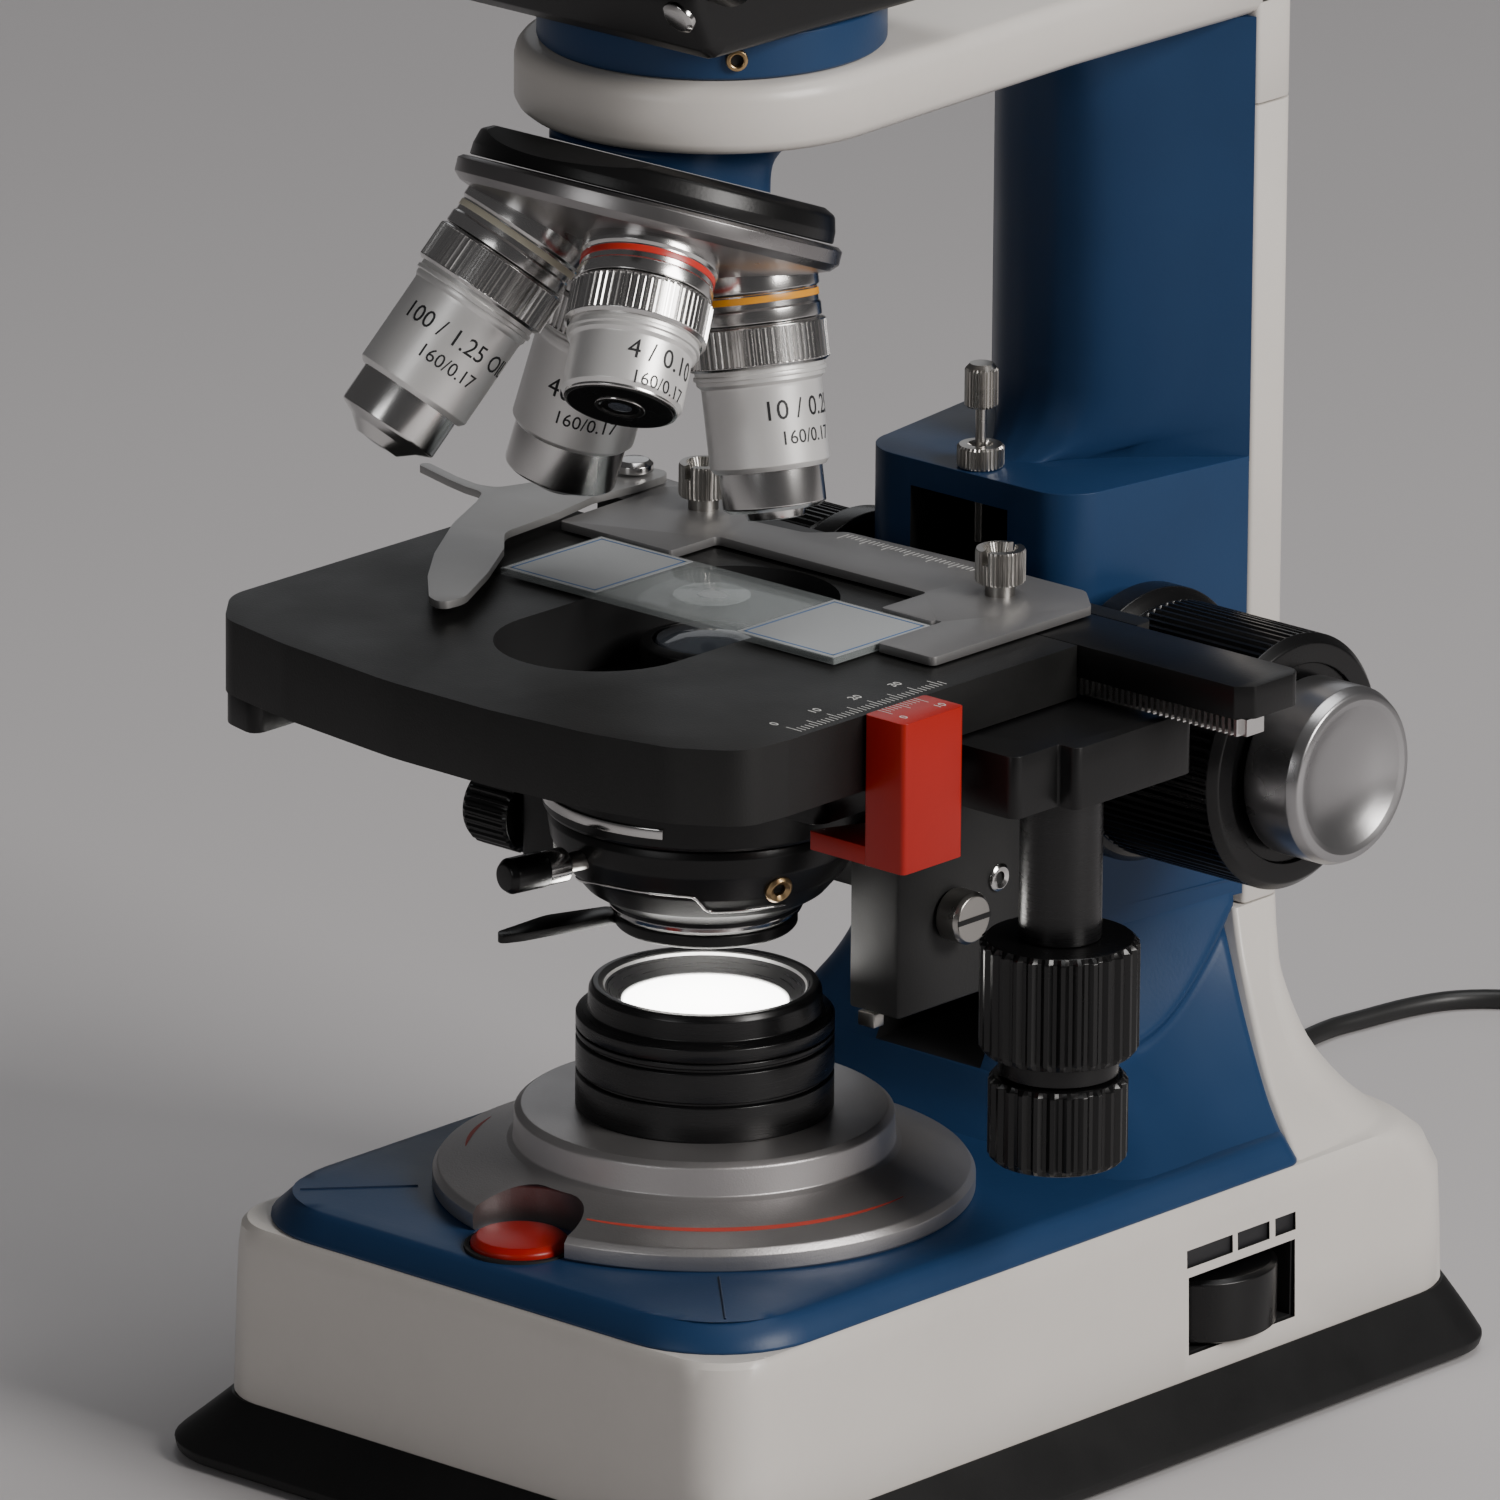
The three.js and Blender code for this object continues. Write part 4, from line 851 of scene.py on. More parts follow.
def objective(tag, turn, end, radius, nose, band, words, twist_deg, row_at):
    """Plated objective with a knurled ring, printed numbers and a colour band."""
    axis = objective_axis(turn)
    at = Vector(APEX) + axis * SEAT
    look = Vector((math.sin(AZIMUTH) * math.cos(ELEVATION), -math.cos(AZIMUTH) * math.cos(ELEVATION),
        math.sin(ELEVATION)))
    face = Matrix.Rotation(math.radians(-twist_deg), 3, axis) @ (look - axis * look.dot(axis)).normalized()
    body = "turret"
    common = {"at": at, "axis": axis, "twist": face, "slot": "satin_metal"}
    lathe(f"{tag}_neck", [(0, -1.5), (11.5, -1.5), (11.6, 0), (11.6, 1.4, 0.2), (11.2, 1.9), (11.2, 4.2),
        (11.5, 4.6, 0.2), (11.5, 6.7, 0.2), (0, 6.8)], "barrel", body, segments=96,
        replaces=f"objective_{tag}", **common)
    lathe(f"{tag}_band", [(11.0, 2.1), (11.36, 2.2, 0.1), (11.36, 3.3, 0.1), (11.0, 3.35), (11.0, 2.1)],
        band, body, segments=96, **common)
    lathe(f"{tag}_grip", [(0, 6.9), (11.4, 6.9), (12, 7.3, 0.2), (12, 7.5), (12, 13.5), (12, 13.7, 0.2),
        (11.4, 14.2), (0, 14.2)], "barrel", body, teeth=(7.5, 13.5, 62, 0.45), angle=20, **common)
    lathe(f"{tag}_barrel", [(0, 14.2), (10.9, 14.2), (10.9, 14.9), (11.2, 15.1, 0.1), (11.2, 15.7, 0.1),
        (10.8, 15.9), (10.8, 16.5), (radius + 0.05, 17.1, 0.3), (radius, 17.7), (radius, end - 0.9, 0.3),
        (radius - 0.8, end, 0.2), (0, end)], "sleeve", body, segments=112, **common)
    lathe(f"{tag}_nose", [(0, end - 0.5), (nose[0][0], end - 0.5), *nose, (0, nose[-1][1])], "barrel",
        body, segments=112, **common)
    tip = nose[-1][1]
    if tag == "4x":
        lathe("4x_face", [(0, tip - 0.2), (9.1, tip - 0.2), (8.9, tip + 0.12), (4.6, tip + 0.12),
            (0, tip + 0.1)], "plastic", body, segments=96, **common)
        lathe("4x_rim", [(3.0, tip), (4.3, tip), (4.2, tip + 0.3, 0.1), (3.6, tip + 0.3, 0.1), (3.0, tip)],
            "chrome", body, segments=64, **common)
    lathe(f"{tag}_front_lens", [(0, tip + 0.02), (2.4, tip + 0.02), (1.6, tip + 0.2), (0, tip + 0.26)],
        "lens", body, at, axis, segments=48, twist=face)
    for row, (line, size) in enumerate(words):
        flip = axis_matrix(at + axis * (row_at + 4.7 * row), tuple(-axis), tuple(face))
        text(f"{tag}_print_{row}", line, size, "print", body, wrap=radius + 0.03, at=flip,
            slot="satin_metal")


OBJECTIVES = {
    "4x": (TURN + 90, 26.4, 10.2, [(9.6, 26.6, 0.2), (9.2, 26.8)], "band_red",
        (("4 / 0.10", 4.7), ("160/0.17", 3.3)), 37, 20.0),
    "10x": (TURN, 31.5, 10.1, [(8.7, 31.9), (8.7, 37.6, 0.4), (7.6, 38.3, 0.3), (5.2, 38.4),
        (4.8, 39.8, 0.3), (3.2, 40, 0.1), (0, 39.4)], "band_yellow",
        (("10 / 0.25", 4.7), ("160/0.17", 3.3)), 45, 21.6),
    "100x": (TURN + 180, 34, 10.4, [(9, 34.4), (9, 40.8, 0.5), (6.4, 42, 0.3), (4, 44, 0.2), (0, 44)],
        "band_cream", (("100 / 1.25 OIL", 4.3), ("160/0.17", 3.4)), 16, 22.4),
    "40x": (TURN - 90, 34, 10.6, [(9.6, 34.4), (9.6, 41.6, 0.5), (6.4, 43, 0.3), (4, 44.2, 0.2),
        (0, 44.2)], "band_blue", (("40 / 0.65", 4.7), ("160/0.17", 3.3)), 12, 23.8),
}

nosepiece()
for key, spec in OBJECTIVES.items():
    objective(key, *spec)


# ---- binocular head -----------------------------------------------------------------------------
HEAD_TILT = math.radians(30)
EYE_AXIS = Vector((0, -math.cos(HEAD_TILT), math.sin(HEAD_TILT)))
PIVOT = Vector((0, -32, 283))


def on_eye(along, side=0.0, up=0.0):
    p = PIVOT + EYE_AXIS * along
    return (side, p.y + math.sin(HEAD_TILT) * up, p.z + math.cos(HEAD_TILT) * up)


def head():
    lathe("ring", [(0, 249.6), (28.9, 249.6), (29.3, 250, 0.3), (29.3, 256.8, 0.3), (28.7, 257.3),
        (0, 257.3)], "blue", "frame", replaces="head_ring", segments=128)
    a = math.radians(-40)
    at = (28.9 * math.cos(a), 28.9 * math.sin(a), 253.2)
    lathe("ring_screw", [(0.95, 0.2), (1.1, 1.35), (1.3, 1.5, 0.1), (1.8, 1.4, 0.2), (1.9, 0.6), (1.9, 0),
        (0.95, 0.2)], "brass", "frame", at, (math.cos(a), math.sin(a), 0), segments=6 * 6,
        replaces="head_set_screw")
    # Near-black disc in the brass screw's socket: painted shade.
    lathe("ring_screw_socket", [(0, 0.4), (1.1, 0.4), (1.1, 0.1), (0, 0.1)], "deep", "frame", at,
        (math.cos(a), math.sin(a), 0), segments=12, slot="brass_metal")
    profile = [(-33.2, 257.4, 0.6), (27, 257.4, 2), (31, 262, 4), (31, 289, 6), (26, 297, 5), (4, 300, 8),
        (-16, 300, 6), (-23.6, 297.6, 2), (-40.2, 268.8, 5), (-35.4, 259.2, 1.5)]
    pts = fillet(profile, closed=True, steps=5)
    rings = []
    for x, inset in ((-31.2, 2.2), (-30.9, 1.1), (-30.2, 0.35), (-29, 0), (29, 0), (30.2, 0.35),
            (30.9, 1.1), (31.2, 2.2)):
        cy, cz = -4, 279
        rings.append([(x, cy + (y - cy) * (1 - inset / 30), cz + (z - cz) * (1 - inset / 21)) for y,
            z in pts])
    loft("head_case", rings, "black", "head", replaces="head_body", angle=50)
    lathe("head_screw", [(0, -0.5), (3.1, -0.5), (3.1, 0.5, 0.3), (2.3, 1.0, 0.3), (0, 1.1)], "chrome",
        "head", (27.2, -38.2, 265.2), (0, -0.87, -0.49), segments=40)
    for side, tag in ((1, "right"), (-1, "left")):
        tube_side(side, tag)
    lathe("pivot_cap", [(0, -0.4), (7.4, -0.4), (7.4, 0.5, 0.3), (0, 0.5)], "dark_satin", "head",
        on_eye(0.2, 0), tuple(EYE_AXIS))


def tube_side(side, tag):
    """Prism housing, eyetube and eyepiece of one side."""
    body = f"prism_{tag}"
    near, wedge, far = side * 0.9, side * 3.7, side * 47
    rings = []
    for along, shrink in ((0.7, 0.98), (1.4, 1.0), (13.5, 0.995), (15.6, 0.975), (16.7, 0.94),
            (17.1, 0.88)):
        outline = fillet([(wedge, -14, 3), (near, -1.5, 2), (near, 1.5, 2), (wedge, 14, 3),
            (far - side * 5, 16, 5), (far, 11, 7), (far, -11, 7), (far - side * 5, -16, 5)], closed=True,
            steps=5)
        cx = side * 24
        rings.append([on_eye(along, cx + (x - cx) * shrink, u * shrink) for x, u in outline])
    loft(f"prism_{tag}", rings, "black", body, replaces=f"prism_housing_{tag}", angle=50)
    lathe(f"eyetube_{tag}", [(0, 0), (13.4, 0, 0.2), (13.4, 4.6, 0.6), (12.3, 5.4), (12.3, 26), (0, 26)],
        "dark_satin", body, on_eye(14, side * 31), tuple(EYE_AXIS))
    z = 40.3 if side > 0 else 48
    lathe(f"ocular_{tag}", [(0, z), (14.4, z), (15, z + 0.8, 0.3), (15, z + 11.6, 0.6),
        (15.8, z + 13, 0.6), (17, z + 14.6, 0.8), (17, z + 19.6, 1.2), (15.4, z + 21.8, 1.2),
        (13.6, z + 21.6, 0.8), (12.6, z + 19.8), (0, z + 19.8)], "rubber", body, on_eye(0, side * 31),
        tuple(EYE_AXIS), replaces=f"eyepiece_{tag}", teeth=(z + 2, z + 10, 60, 0.3), angle=25)
    lathe(f"eye_lens_{tag}", [(0, z + 19.4), (11, z + 19.4), (11, z + 20), (7, z + 20.9), (0, z + 21.4)],
        "lens", body, on_eye(0, side * 31), tuple(EYE_AXIS))
    if side < 0:
        lathe("diopter_grip", [(0, 40.3), (14, 40.3), (14.8, 41, 0.3), (14.8, 47, 0.3), (14, 47.7),
            (0, 47.7)], "plastic", "diopter", on_eye(0, side * 31), tuple(EYE_AXIS),
            replaces="diopter_ring", teeth=(41.4, 46.6, 72, 0.35), angle=25)


head()


# ---- focusing -----------------------------------------------------------------------------------
FOCUS = (0, 75, 119.5)


def focus_knobs():
    for side, tag, x1, fine_x in ((1, "right", 68.8, 67.3), (-1, "left", 58, 56.5)):
        x0 = 29.8
        axis = (side, 0, 0)
        lathe(f"coarse_{tag}", [(0, x0), (23, x0, 0.3), (24, x0 + 0.8, 0.6), (24, x0 + 5.2, 0.6),
            (23, x0 + 6, 0.3), (21.6, x0 + 6.8, 0.4), (22.3, x0 + 8.2, 0.2), (22.3, x0 + 8.4),
            (22.3, x1 - 3.4), (22.3, x1 - 3.0, 0.3), (20.9, x1 - 1.5, 0.8), (17.4, x1 - 1.4, 0.2),
            (17.2, x1 - 2.2), (0, x1 - 2.2)], "plastic", "coarse", FOCUS, axis,
            replaces=f"coarse_knob_{tag}", teeth=(x0 + 8.3, x1 - 3.3, 84, 0.55), angle=25)
        lathe(f"fine_{tag}", [(0, fine_x + 0.5), (14.9, fine_x + 0.5), (15.5, fine_x + 1.2, 0.3),
            (15.5, fine_x + 10.2, 0.8), (14.6, fine_x + 12, 0.8), (13.4, fine_x + 12.3, 0.5),
            (12.4, fine_x + 11.9, 0.5), (10, fine_x + 10.5), (7.5, fine_x + 9.6), (5, fine_x + 9.1),
            (2.5, fine_x + 8.8), (0, fine_x + 8.7)], "fine_metal", "fine", FOCUS, axis,
            replaces=f"fine_knob_{tag}", segments=128, angle=60)
    lathe("stop_stud", [(0, 146), (0.95, 146), (0.95, 169.9), (2.6, 170.1), (2.9, 170.4), (2.9, 176.6),
        (2.6, 177.0), (2.0, 177.7), (0, 177.8)], "nickel", "stop", (-0.2, 69.6, 0), replaces="stop_screw",
        teeth=(170.3, 176.7, 26, 0.3), angle=20)
    lathe("stop_collar", [(1.4, 159.5), (3.9, 159.5), (4.1, 159.8), (4.1, 162.9), (3.7, 163.3),
        (2.2, 163.4), (1.4, 162.6), (1.4, 159.5)], "nickel", "frame", (-0.2, 69.6, 0), replaces="stop_nut",
        teeth=(159.7, 163, 32, 0.3), angle=20)


focus_knobs()


# ---- stage --------------------------------------------------------------------------------------
STAGE_Z = 150.5
STAGE_OUTLINE = [(-61.5, 44, 2), (-61.5, -52, 10), (-53, -62.3, 8), (-36, -66, 30), (-9, -69.4, 60),
    (13.7, -69.6, 60), (35, -67.8, 40), (50, -64.4, 10), (60.2, -57.6, 8), (61.2, -48, 4), (61.2, 44, 2)]


def stadium(cx, y0, y1, r):
    return arc(cx, y0, r, 180, 360, 24) + arc(cx, y1, r, 0, 180, 24)


def stage_top():
    outline = [(x, y) for x, y in fillet(STAGE_OUTLINE, closed=True, steps=6)]
    slab = prism("table", outline, 137.4, 150.5, "stage", "table", bevel=2.2, bevel_steps=5,
        replaces="stage_top", angle=60)
    cut_a = prism("cut_a", stadium(1, -28.5, 6, 17.6), 130, 160, "deep", "table")
    cut_b = block("cut_b", (-90, 90), (24.3, 39.7), (144.6, 160), "deep", "table", bevel=0)
    cut_c = block("cut_c", (-90, 90), (24.3, 31), (141.4, 150), "deep", "table", bevel=0)
    cut_d = block("cut_d", (45, 80), (-18, 60), (130, 141.4), "deep", "table", bevel=0)
    carve(slab, cut_a, cut_b, cut_c, cut_d)
    ticks = [((57.6 if k % 5 else 56.2, 59.6), (-43.05 + k, -42.87 + k),
        (150.44, 150.53)) for k in range(37)]
    bars("stage_scale", ticks, "mark", "table")
    for k, label in enumerate(("0", "10", "20", "30")):
        at = Matrix.Translation(Vector((53.6, -43 + 10 * k, 150.5))
            * MM) @ Matrix.Rotation(math.radians(90), 4, "Z")
        text(f"stage_number_{k}", label, 2.5, "mark", "table", at=at)
    lip = [(x * 0.985, y * 0.985 if y < 0 else y - 1) for x, y in outline]
    prism("table_under", lip, 136.9, 137.6, "black", "table")
    prism("corner_block", [(-60.6, -20, 1), (-60.6, -51, 9), (-54.5, -60.4, 5), (-46, -62.6, 2),
        (-46, -20, 1)], 131.4, 137.4, "black", "table", bevel=0.8)


def carriage():
    block("guide", (-10, 8), (62, 67.4), (92, 136), "chrome", "carriage", bevel=0.4,
        replaces="stage_bracket", slot="black_paint")
    block("shelf", (-10, 8), (40, 63), (121, 128), "black", "carriage", bevel=0.8)
    block("wings", (-40, 40), (34, 47.5), (121, 128), "black", "carriage", bevel=0.8)
    block("rail", (-9, 7), (36, 46), (92, 122), "black", "carriage", bevel=0.6)
    slab = prism("under_plate", [(-48, -28, 3), (50, -28, 3), (50, 47.5, 3), (-48, 47.5, 3)], 128.3, 136.6,
        "black", "carriage", bevel=0.8, replaces="stage_base")
    well = lathe("under_well", [(0, 120), (29.5, 120), (29.5, 140), (0, 140)], "deep", "carriage")
    carve(slab, well)
    prism("control_block", [(46, -7, 1), (75, -7, 2), (75, 4, 0.5), (79, 4, 1.5), (79, 34, 2),
        (46, 34, 1)], 130, 140.8, "black", "carriage", bevel=0.7)
    lathe("control_post", [(0, 103.8), (6.9, 103.8), (7, 104.2), (7, 130.4), (0, 130.4)], "dark_satin",
        "carriage", (68, 13, 0))
    body = [(61.5, -29.6, 0.8), (70.4, -29.6, 1), (70.4, -14.6, 1), (61.5, -14.6, 0.8)]
    prism("vernier", body, 124.7, 150.8, "red", "carriage", bevel=0.5, bevel_steps=3,
        replaces="vernier_block")
    prism("vernier_foot", [(49, -29.4, 0.6), (62.6, -29.4, 0.5), (62.6, -14.8, 0.5), (55, -15, 1)], 124.7,
        127.9, "red", "carriage", bevel=0.4)
    marks = [((61.6, 63.6 if k % 5 else 64.8), (-26.4 + 0.9 * k, -26.25 + 0.9 * k),
        (150.75, 150.83)) for k in range(11)]
    bars("vernier_scale", marks, "mark", "carriage", slot="red_plastic")
    for k, label in enumerate(("0", "10")):
        at = Matrix.Translation(Vector((67.3, -26.3 + 9 * k, 150.8))
            * MM) @ Matrix.Rotation(math.radians(90), 4, "Z")
        text(f"vernier_number_{k}", label, 2.3, "mark", "carriage", at=at, slot="red_plastic")


def stage_knobs():
    lathe("y_grip", [(0, 80), (10.2, 80, 0.2), (10.2, 83.4), (12.6, 83.7, 0.3), (13.5, 84.8, 0.4),
        (13.5, 85.2), (13.5, 102.2), (13.5, 102.6, 0.3), (12.4, 103.6, 0.5), (0, 103.6)], "plastic",
        "y_control", (68, 13, 0), teeth=(83.8, 103.2, 30, 0.75), replaces="y_knob", angle=25)
    lathe("x_grip", [(0, 64.6), (10.8, 64.6, 0.4), (11.8, 65.6, 0.4), (11.8, 66), (11.8, 78.2),
        (11.8, 78.6, 0.3), (10.9, 79.6, 0.5), (0, 79.6)], "plastic", "x_control", (68, 13, 0),
        teeth=(64.9, 79.3, 26, 0.7), replaces="x_knob", angle=25)


def slide_bar():
    prism("bar", [(-42, 24.6, 0.5), (95.5, 24.6, 0.5), (98, 27.1, 1), (98, 39.4, 3), (-42, 39.4, 0.5)],
        144.9, 150.5, "black", "slide_bar", bevel=0.5, replaces="x_bar")
    teeth = []
    x = 46.0
    while x < 96:
        teeth += [(x, 24.7), (x + 0.62, 24.7), (x + 0.75, 25.8), (x + 1.15, 25.8)]
        x += 1.3
    prism("rack", [*teeth, (97.3, 25.8), (97.3, 30.2), (46, 30.2)], 141.9, 144.8, "barrel", "slide_bar",
        replaces="x_rack")
    outline = [(40, -2.2, 0.8), (52.4, -2.2, 1.2), (52.4, 38, 1.2), (46, 44, 3), (29, 44, 1), (-6, 42, 2),
        (-11, 36.8, 3), (-23, 35.6, 3), (-27, 42, 2), (-42, 46, 3), (-47, 40, 3), (-46, 13.2, 0.8),
        (-20.5, 13.2, 0.6), (-20.5, 25, 1), (27.2, 25, 1), (27.2, 13.2, 0.6), (38.4, 13.2, 0.3),
        (38.4, 14.2, 0.3), (40, 14.2, 0.4)]
    plate = prism("holder", outline, 150.9, 152.4, "plate", "slide_bar", bevel=0.25,
        replaces="slide_holder")
    for tag, x, y in (("right", 36.5, 32.9), ("left", -33.5, 35.9)):
        z = 152.6
        head = lathe(f"screw_{tag}", [(0, z - 0.2), (2.6, z - 0.2), (2.6, z + 1.9), (4.1, z + 2.1),
            (4.3, z + 2.4), (4.3, z + 7.4), (4.1, z + 7.9), (3.0, z + 8), (2.6, z + 6.2), (0, z + 6)],
            "nickel", "slide_bar", (x, y, 0), teeth=(z + 2.3, z + 7.5, 34, 0.3), angle=20,
            replaces=f"thumb_screw_{tag}")
        notch = block("notch", (x - 0.7, x + 0.7), (y - 6, y + 6), (z + 5.6, z + 9), "nickel", "slide_bar",
            bevel=0)
        carve(head, notch)
    lathe("pivot_screw", [(0, 154.5), (3.4, 154.5, 0.2), (3.4, 155.8, 0.3), (2.6, 156.5, 0.4), (0, 156.7)],
        "chrome", "slide_bar", (-52.4, 39, 0), replaces="finger_screw", segments=64)
    prism("finger_ear", [(-58, 34, 3), (-46, 33, 1), (-42, 44, 1), (-56, 45, 3)], 151.0, 152.35, "plate",
        "slide_bar", bevel=0.2)
    sickle = [(-57, 43, 4), (-47.5, 44, 3), (-47, 34, 3), (-48, 24, 8), (-46, 13, 8), (-44.8, -2, 6),
        (-38.4, -9, 6), (-31, -21, 20), (-24.2, -34, 6), (-24.6, -39.6, 2.4), (-28.8, -38, 3),
        (-37, -29.5, 12), (-45.2, -19, 20), (-54.8, -4, 20), (-60.5, 8, 6), (-63.5, 12.8, 3),
        (-68, 13.2, 4), (-73, 14.4, 6), (-83, 17.4, 1), (-82.4, 19.4, 1), (-73, 16.6, 6), (-67.4, 15.6, 4),
        (-63.6, 16.6, 3), (-61, 24, 6), (-58, 34, 6)]
    prism("sickle", sickle, 152.7, 154.0, "finger", "finger", bevel=0.35, bevel_steps=3, angle=50,
        replaces="slide_finger")


def specimen():
    prism("slide_glass", [(-36, -12.6, 0.3), (39.6, -12.6, 0.3), (39.6, 12.8, 0.3), (-36, 12.8, 0.3)],
        150.8, 151.9, "slide", "slide_bar", bevel=0.12, replaces="specimen_slide")
    for tag, x0, x1 in (("left", -35.6, -14.6), ("right", 17.4, 39.2)):
        bars(f"frosting_{tag}", [((x0, x1), (-12.2, 12.4), (151.86, 151.93))], "frost", "slide_bar")
        w, lines = 0.36, []
        xa, xb, ya, yb = x0 + 0.8, x1 - 0.8, -11.4, 11.6
        lines += [((xa, xb), (ya, ya + w), (151.92, 151.96)), ((xa, xb), (yb - w, yb), (151.92, 151.96))]
        lines += [((xa, xa + w), (ya, yb), (151.92, 151.96)), ((xb - w, xb), (ya, yb), (151.92, 151.96))]
        bars(f"frame_line_{tag}", lines, "ink", "slide_bar")
    prism("cover_glass", circle(0.5, 0.4, 6.6, 48), 151.9, 152.05, "slide", "slide_bar", bevel=0.05)
    spot = [(0.5 + (2.6 + 0.35 * math.sin(3 * a) + 0.2 * math.cos(5 * a)) * math.cos(a),
        0.4 + (2.3 + 0.3 * math.cos(2 * a)) * math.sin(a)) for a in (2 * PI * k / 36 for k in range(36))]
    prism("specimen_spot", spot, 151.92, 151.98, "frost", "slide_bar")
    # X scale at the back of the holder
    ticks = [((-5 + k, -4.85 + k), (39.4 if k % 5 else 38.2, 41.2), (152.38, 152.43)) for k in range(30)]
    bars("x_scale", ticks, "mark", "slide_bar", slot="plate_metal")


stage_top()
carriage()
stage_knobs()
slide_bar()
specimen()


# ---- condenser ----------------------------------------------------------------------------------
def condenser():
    lathe("sleeve", [(19, 115.2), (27.4, 115.2), (27.8, 115.8, 0.3), (27.8, 132.6, 0.3), (27.4, 133),
        (21.5, 133), (21.5, 119.4), (19, 119.2), (19, 115.2)], "black", "condenser",
        replaces="condenser_holder", segments=112)
    arc_pts = [(28.3 * math.cos(a), 28.3 * math.sin(a)) for a in (math.radians(-131 + 2 * k)
        for k in range(35))]
    arc_in = [(27.2 * math.cos(a), 27.2 * math.sin(a)) for a in (math.radians(-63 - 2 * k)
        for k in range(35))]
    prism("sleeve_trim", arc_pts + arc_in, 117.2, 119.0, "chrome", "condenser", bevel=0.2,
        slot="satin_metal")
    block("side_plate", (20, 31), (14, 46), (80, 114.4), "rubber", "condenser", bevel=0.8,
        slot="black_paint")
    block("side_neck", (20, 31), (14, 24), (110, 122), "black", "condenser", bevel=0.8)
    block("lug", (-38, -30.5), (-5, 5), (97.5, 121), "black", "condenser", bevel=1)
    block("lug_root", (-36, -26), (-5, 5), (116, 121), "black", "condenser", bevel=0.8)
    lathe("side_socket", [(1.1, 0.5), (1.3, -0.4), (2.4, -0.4), (2.5, 0.4, 0.2), (1.9, 0.8, 0.2),
        (1.1, 0.5)], "chrome", "condenser", (31, 39.6, 99.5), (1, 0, 0), segments=36)
    lathe("bowl", [(0, 97), (15.4, 97), (16.4, 97.6, 0.3), (16.8, 99, 0.3), (20.6, 101.4, 1),
        (24, 105.4, 2), (26.4, 110, 2), (27, 113.4, 0.8), (26.6, 114.8, 0.4), (18.7, 115),
        (18.7, 133.6, 0.6), (11.5, 136.8, 1), (11.5, 143.8, 0.5), (9.4, 144.4, 0.2), (9.4, 143.2),
        (0, 143.2)], "black", "condenser", replaces="condenser_body", segments=112)
    lathe("top_lens", [(0, 143.3), (9.2, 143.3), (8.6, 144.3), (5, 145.4), (0, 145.8)], "lens",
        "condenser", replaces="condenser_lens", segments=64)
    lathe("lower_lens", [(0, 96.95), (13.4, 96.95), (13.4, 97.2), (0, 97.2)], "glow_soft", "condenser",
        segments=64)
    a = math.radians(-19)
    at = (24.6 * math.cos(a), 24.6 * math.sin(a), 107.2)
    lathe("bowl_screw", [(1.1, 0.9), (1.3, -0.6), (2.4, -0.6), (2.5, 0.9, 0.2), (1.9, 1.5, 0.2),
        (1.1, 0.9)], "brass", "condenser", at, (math.cos(a), math.sin(a), -0.3), segments=36)
    # Near-black disc in the brass screw's socket: painted shade.
    lathe("bowl_screw_socket", [(0, 0.2), (1.2, 0.2), (1.2, -0.2), (0, -0.2)], "deep", "condenser", at,
        (math.cos(a), math.sin(a), -0.3), segments=6, slot="brass_metal")
    ledge = []
    for k in range(70):
        ang = -124 + 113 * k / 69
        z = 103.1 + 3.4 / (1 + math.exp(-(ang + 108) * 0.12)) - 3.6 / (1 + math.exp(-(ang + 50) * 0.9))
        r = 24 + 2.4 * (z - 105.4) / 4.6 if z > 105.4 else 20.6 + 3.4 * (z - 101.4) / 4
        ledge.append(((r + 0.12) * math.cos(math.radians(ang)), (r + 0.12) * math.sin(math.radians(ang)),
            z))
    tube("bowl_ledge", ledge, 0.26, "chrome", "condenser", sides=3)
    lathe("bowl_rim", [(15.2, 97.0), (16.3, 97.3), (16.6, 98.0, 0.1), (16.5, 98.5), (15.2, 98.4),
        (15.2, 97.0)], "chrome", "condenser", segments=96, slot="satin_metal")
    block("guide_stop", (22.6, 26.4), (13.4, 16), (77.6, 80.2), "nickel", "condenser", bevel=0.3,
        slot="satin_metal")
    lathe("centring_knob", [(0, 0), (3, 0), (3, 1.6), (6.4, 1.8, 0.3), (7, 2.4), (7, 11.0), (6.4, 12, 0.4),
        (0, 12.2)], "plastic", "condenser_turn", (-38.3, 0, 104.4), (-1, 0, 0),
        teeth=(2.3, 11.1, 30, 0.35), replaces="condenser_knob", angle=25)
    lathe("clamp", [(0, 0), (4.2, 0), (4.6, 0.5, 0.2), (4.6, 4.2, 0.3), (4.0, 5, 0.4), (0, 5)], "nickel",
        "clamp", (31.3, 27.5, 96), (1, 0, 0), replaces="clamp_screw", segments=72)
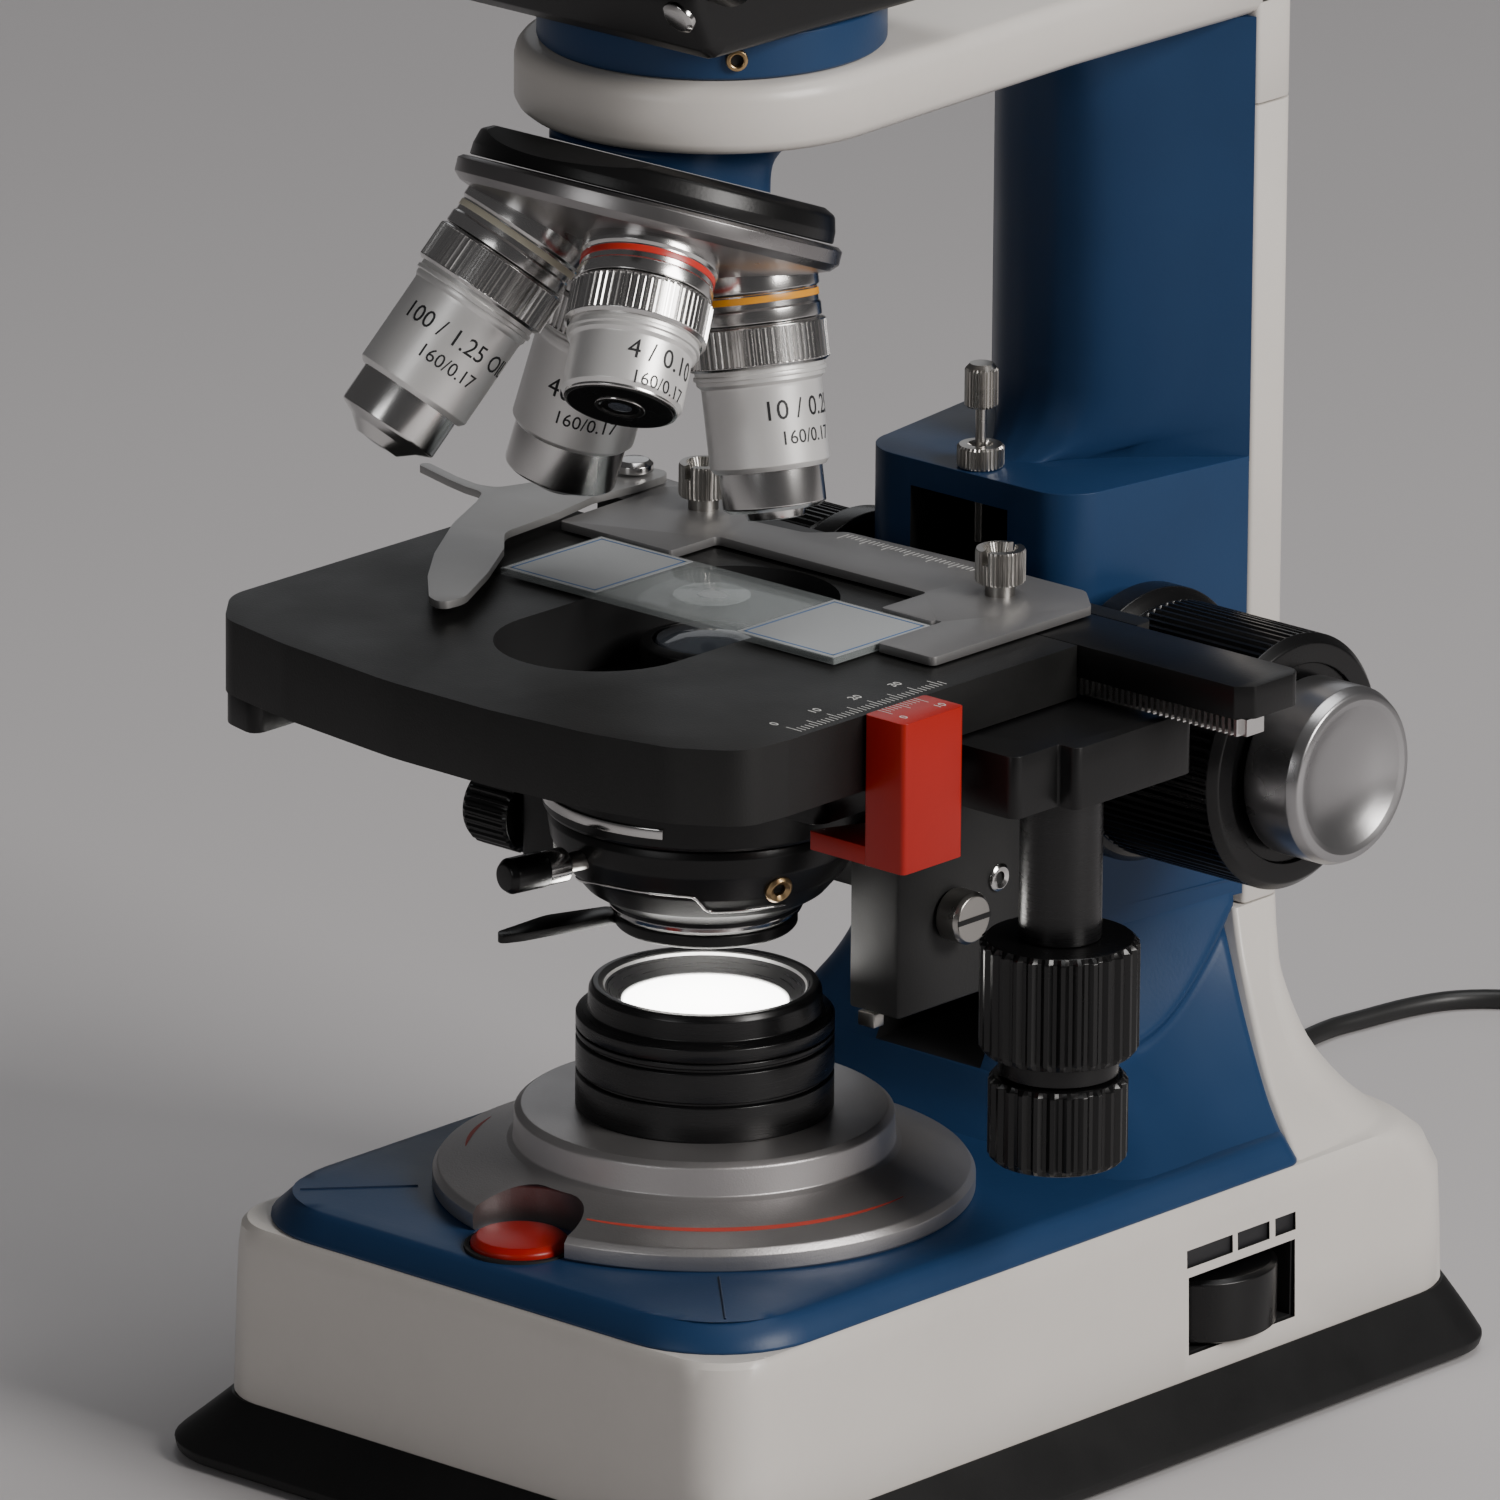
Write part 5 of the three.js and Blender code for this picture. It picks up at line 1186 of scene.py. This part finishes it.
    # Near-black bar across the end of the clamp screw: painted shade in its slot.
    bars("clamp_slot", [((36.26, 36.4), (23.3, 31.7), (95.55, 96.45))], "deep", "clamp",
        slot="chrome_metal")
    lever = Vector((-0.185, -0.983, 0))
    root = lever * 27.3 + Vector((0, 0, 110))
    lathe("iris_grip", [(0, 7.4), (3, 7.4), (3.1, 7.8), (3.1, 14.2, 0.6), (2.3, 15.3, 0.6), (0, 15.4)],
        "plastic", "iris", root, tuple(lever), replaces="iris_lever", segments=48)
    lathe("iris_sleeve", [(0, 2.6), (2.5, 2.7), (3, 3.2, 0.2), (3, 7.5), (0, 7.5)], "chrome", "iris", root,
        tuple(lever), segments=48)
    lathe("iris_stem", [(0, -2), (1.7, -2), (1.7, 2.7), (0, 2.7)], "nickel", "iris", root, tuple(lever),
        segments=48)
    lathe("filter_ring", [(13, 94.1), (15.2, 94.1, 0.3), (15.6, 94.6, 0.3), (15.6, 96.2, 0.3),
        (15.2, 96.5), (13, 96.5), (13, 94.1)], "black", "filter", segments=96, replaces="filter_carrier")
    prism("filter_handle", [(-14, -8.4, 1), (-9.6, -12, 1), (-14.4, -30, 8), (-16.4, -34, 1),
        (-18.4, -32, 2), (-18.6, -20, 8)], 94.4, 95.8, "plastic", "filter", bevel=0.4, slot="black_paint")


condenser()


# ---- floor and light ------------------------------------------------------------------------------
def floor():
    t = Nodes("pale_floor")
    cloud = t.noise(2.2, 2)
    t.link(t.mix(t.ramp(cloud, 0.3, 0.7, 0, 1), (0.53, 0.512, 0.517), (0.555, 0.537, 0.542)),
        t.bsdf.inputs["Base Color"])
    t.bsdf.inputs["Roughness"].default_value = 0.6
    mesh = bpy.data.meshes.new("floor")
    n, half = 8, 7.0
    steps = [-half + 2 * half * k / n for k in range(n + 1)]
    mesh.from_pydata([(x, y, 0.0) for y in steps for x in steps], [],
        [(r * (n + 1) + c, r * (n + 1) + c + 1, (r + 1) * (n + 1) + c + 1,
        (r + 1) * (n + 1) + c) for r in range(n) for c in range(n)])
    mesh.materials.append(t.mat)
    obj = bpy.data.objects.new("floor", mesh)
    bpy.context.scene.collection.objects.link(obj)


def lights():
    world = bpy.data.worlds.new("studio")
    world.use_nodes = True
    world.node_tree.nodes["Background"].inputs["Color"].default_value = (0.8, 0.78, 0.79, 1)
    world.node_tree.nodes["Background"].inputs["Strength"].default_value = 0.085
    bpy.context.scene.world = world
    area_light("key", (1.7, 0.25, 1.1), (0, 0, 0.12), 0.8, 37, (1, 0.97, 0.94))
    area_light("top", (0.2, 0.3, 1.7), (0, 0.02, 0.1), 0.9, 10)
    area_light("fill", (0.2, -2.0, 0.9), (0, 0, 0.12), 0.7, 4.0)
    area_light("rim", (-1.35, 1.5, 0.85), (0, 0, 0.12), 0.9, 1.3, (0.95, 0.97, 1))
    lamp = bpy.data.lights.new("lamp_light", "SPOT")
    lamp.energy, lamp.spot_size, lamp.spot_blend, lamp.shadow_soft_size = 0.08, math.radians(80), 0.5, 0.01
    obj = bpy.data.objects.new("lamp_light", lamp)
    bpy.context.scene.collection.objects.link(obj)
    obj.location = (0, 0, 0.0845)
    obj.rotation_euler = (PI, 0, 0)


floor()
lights()
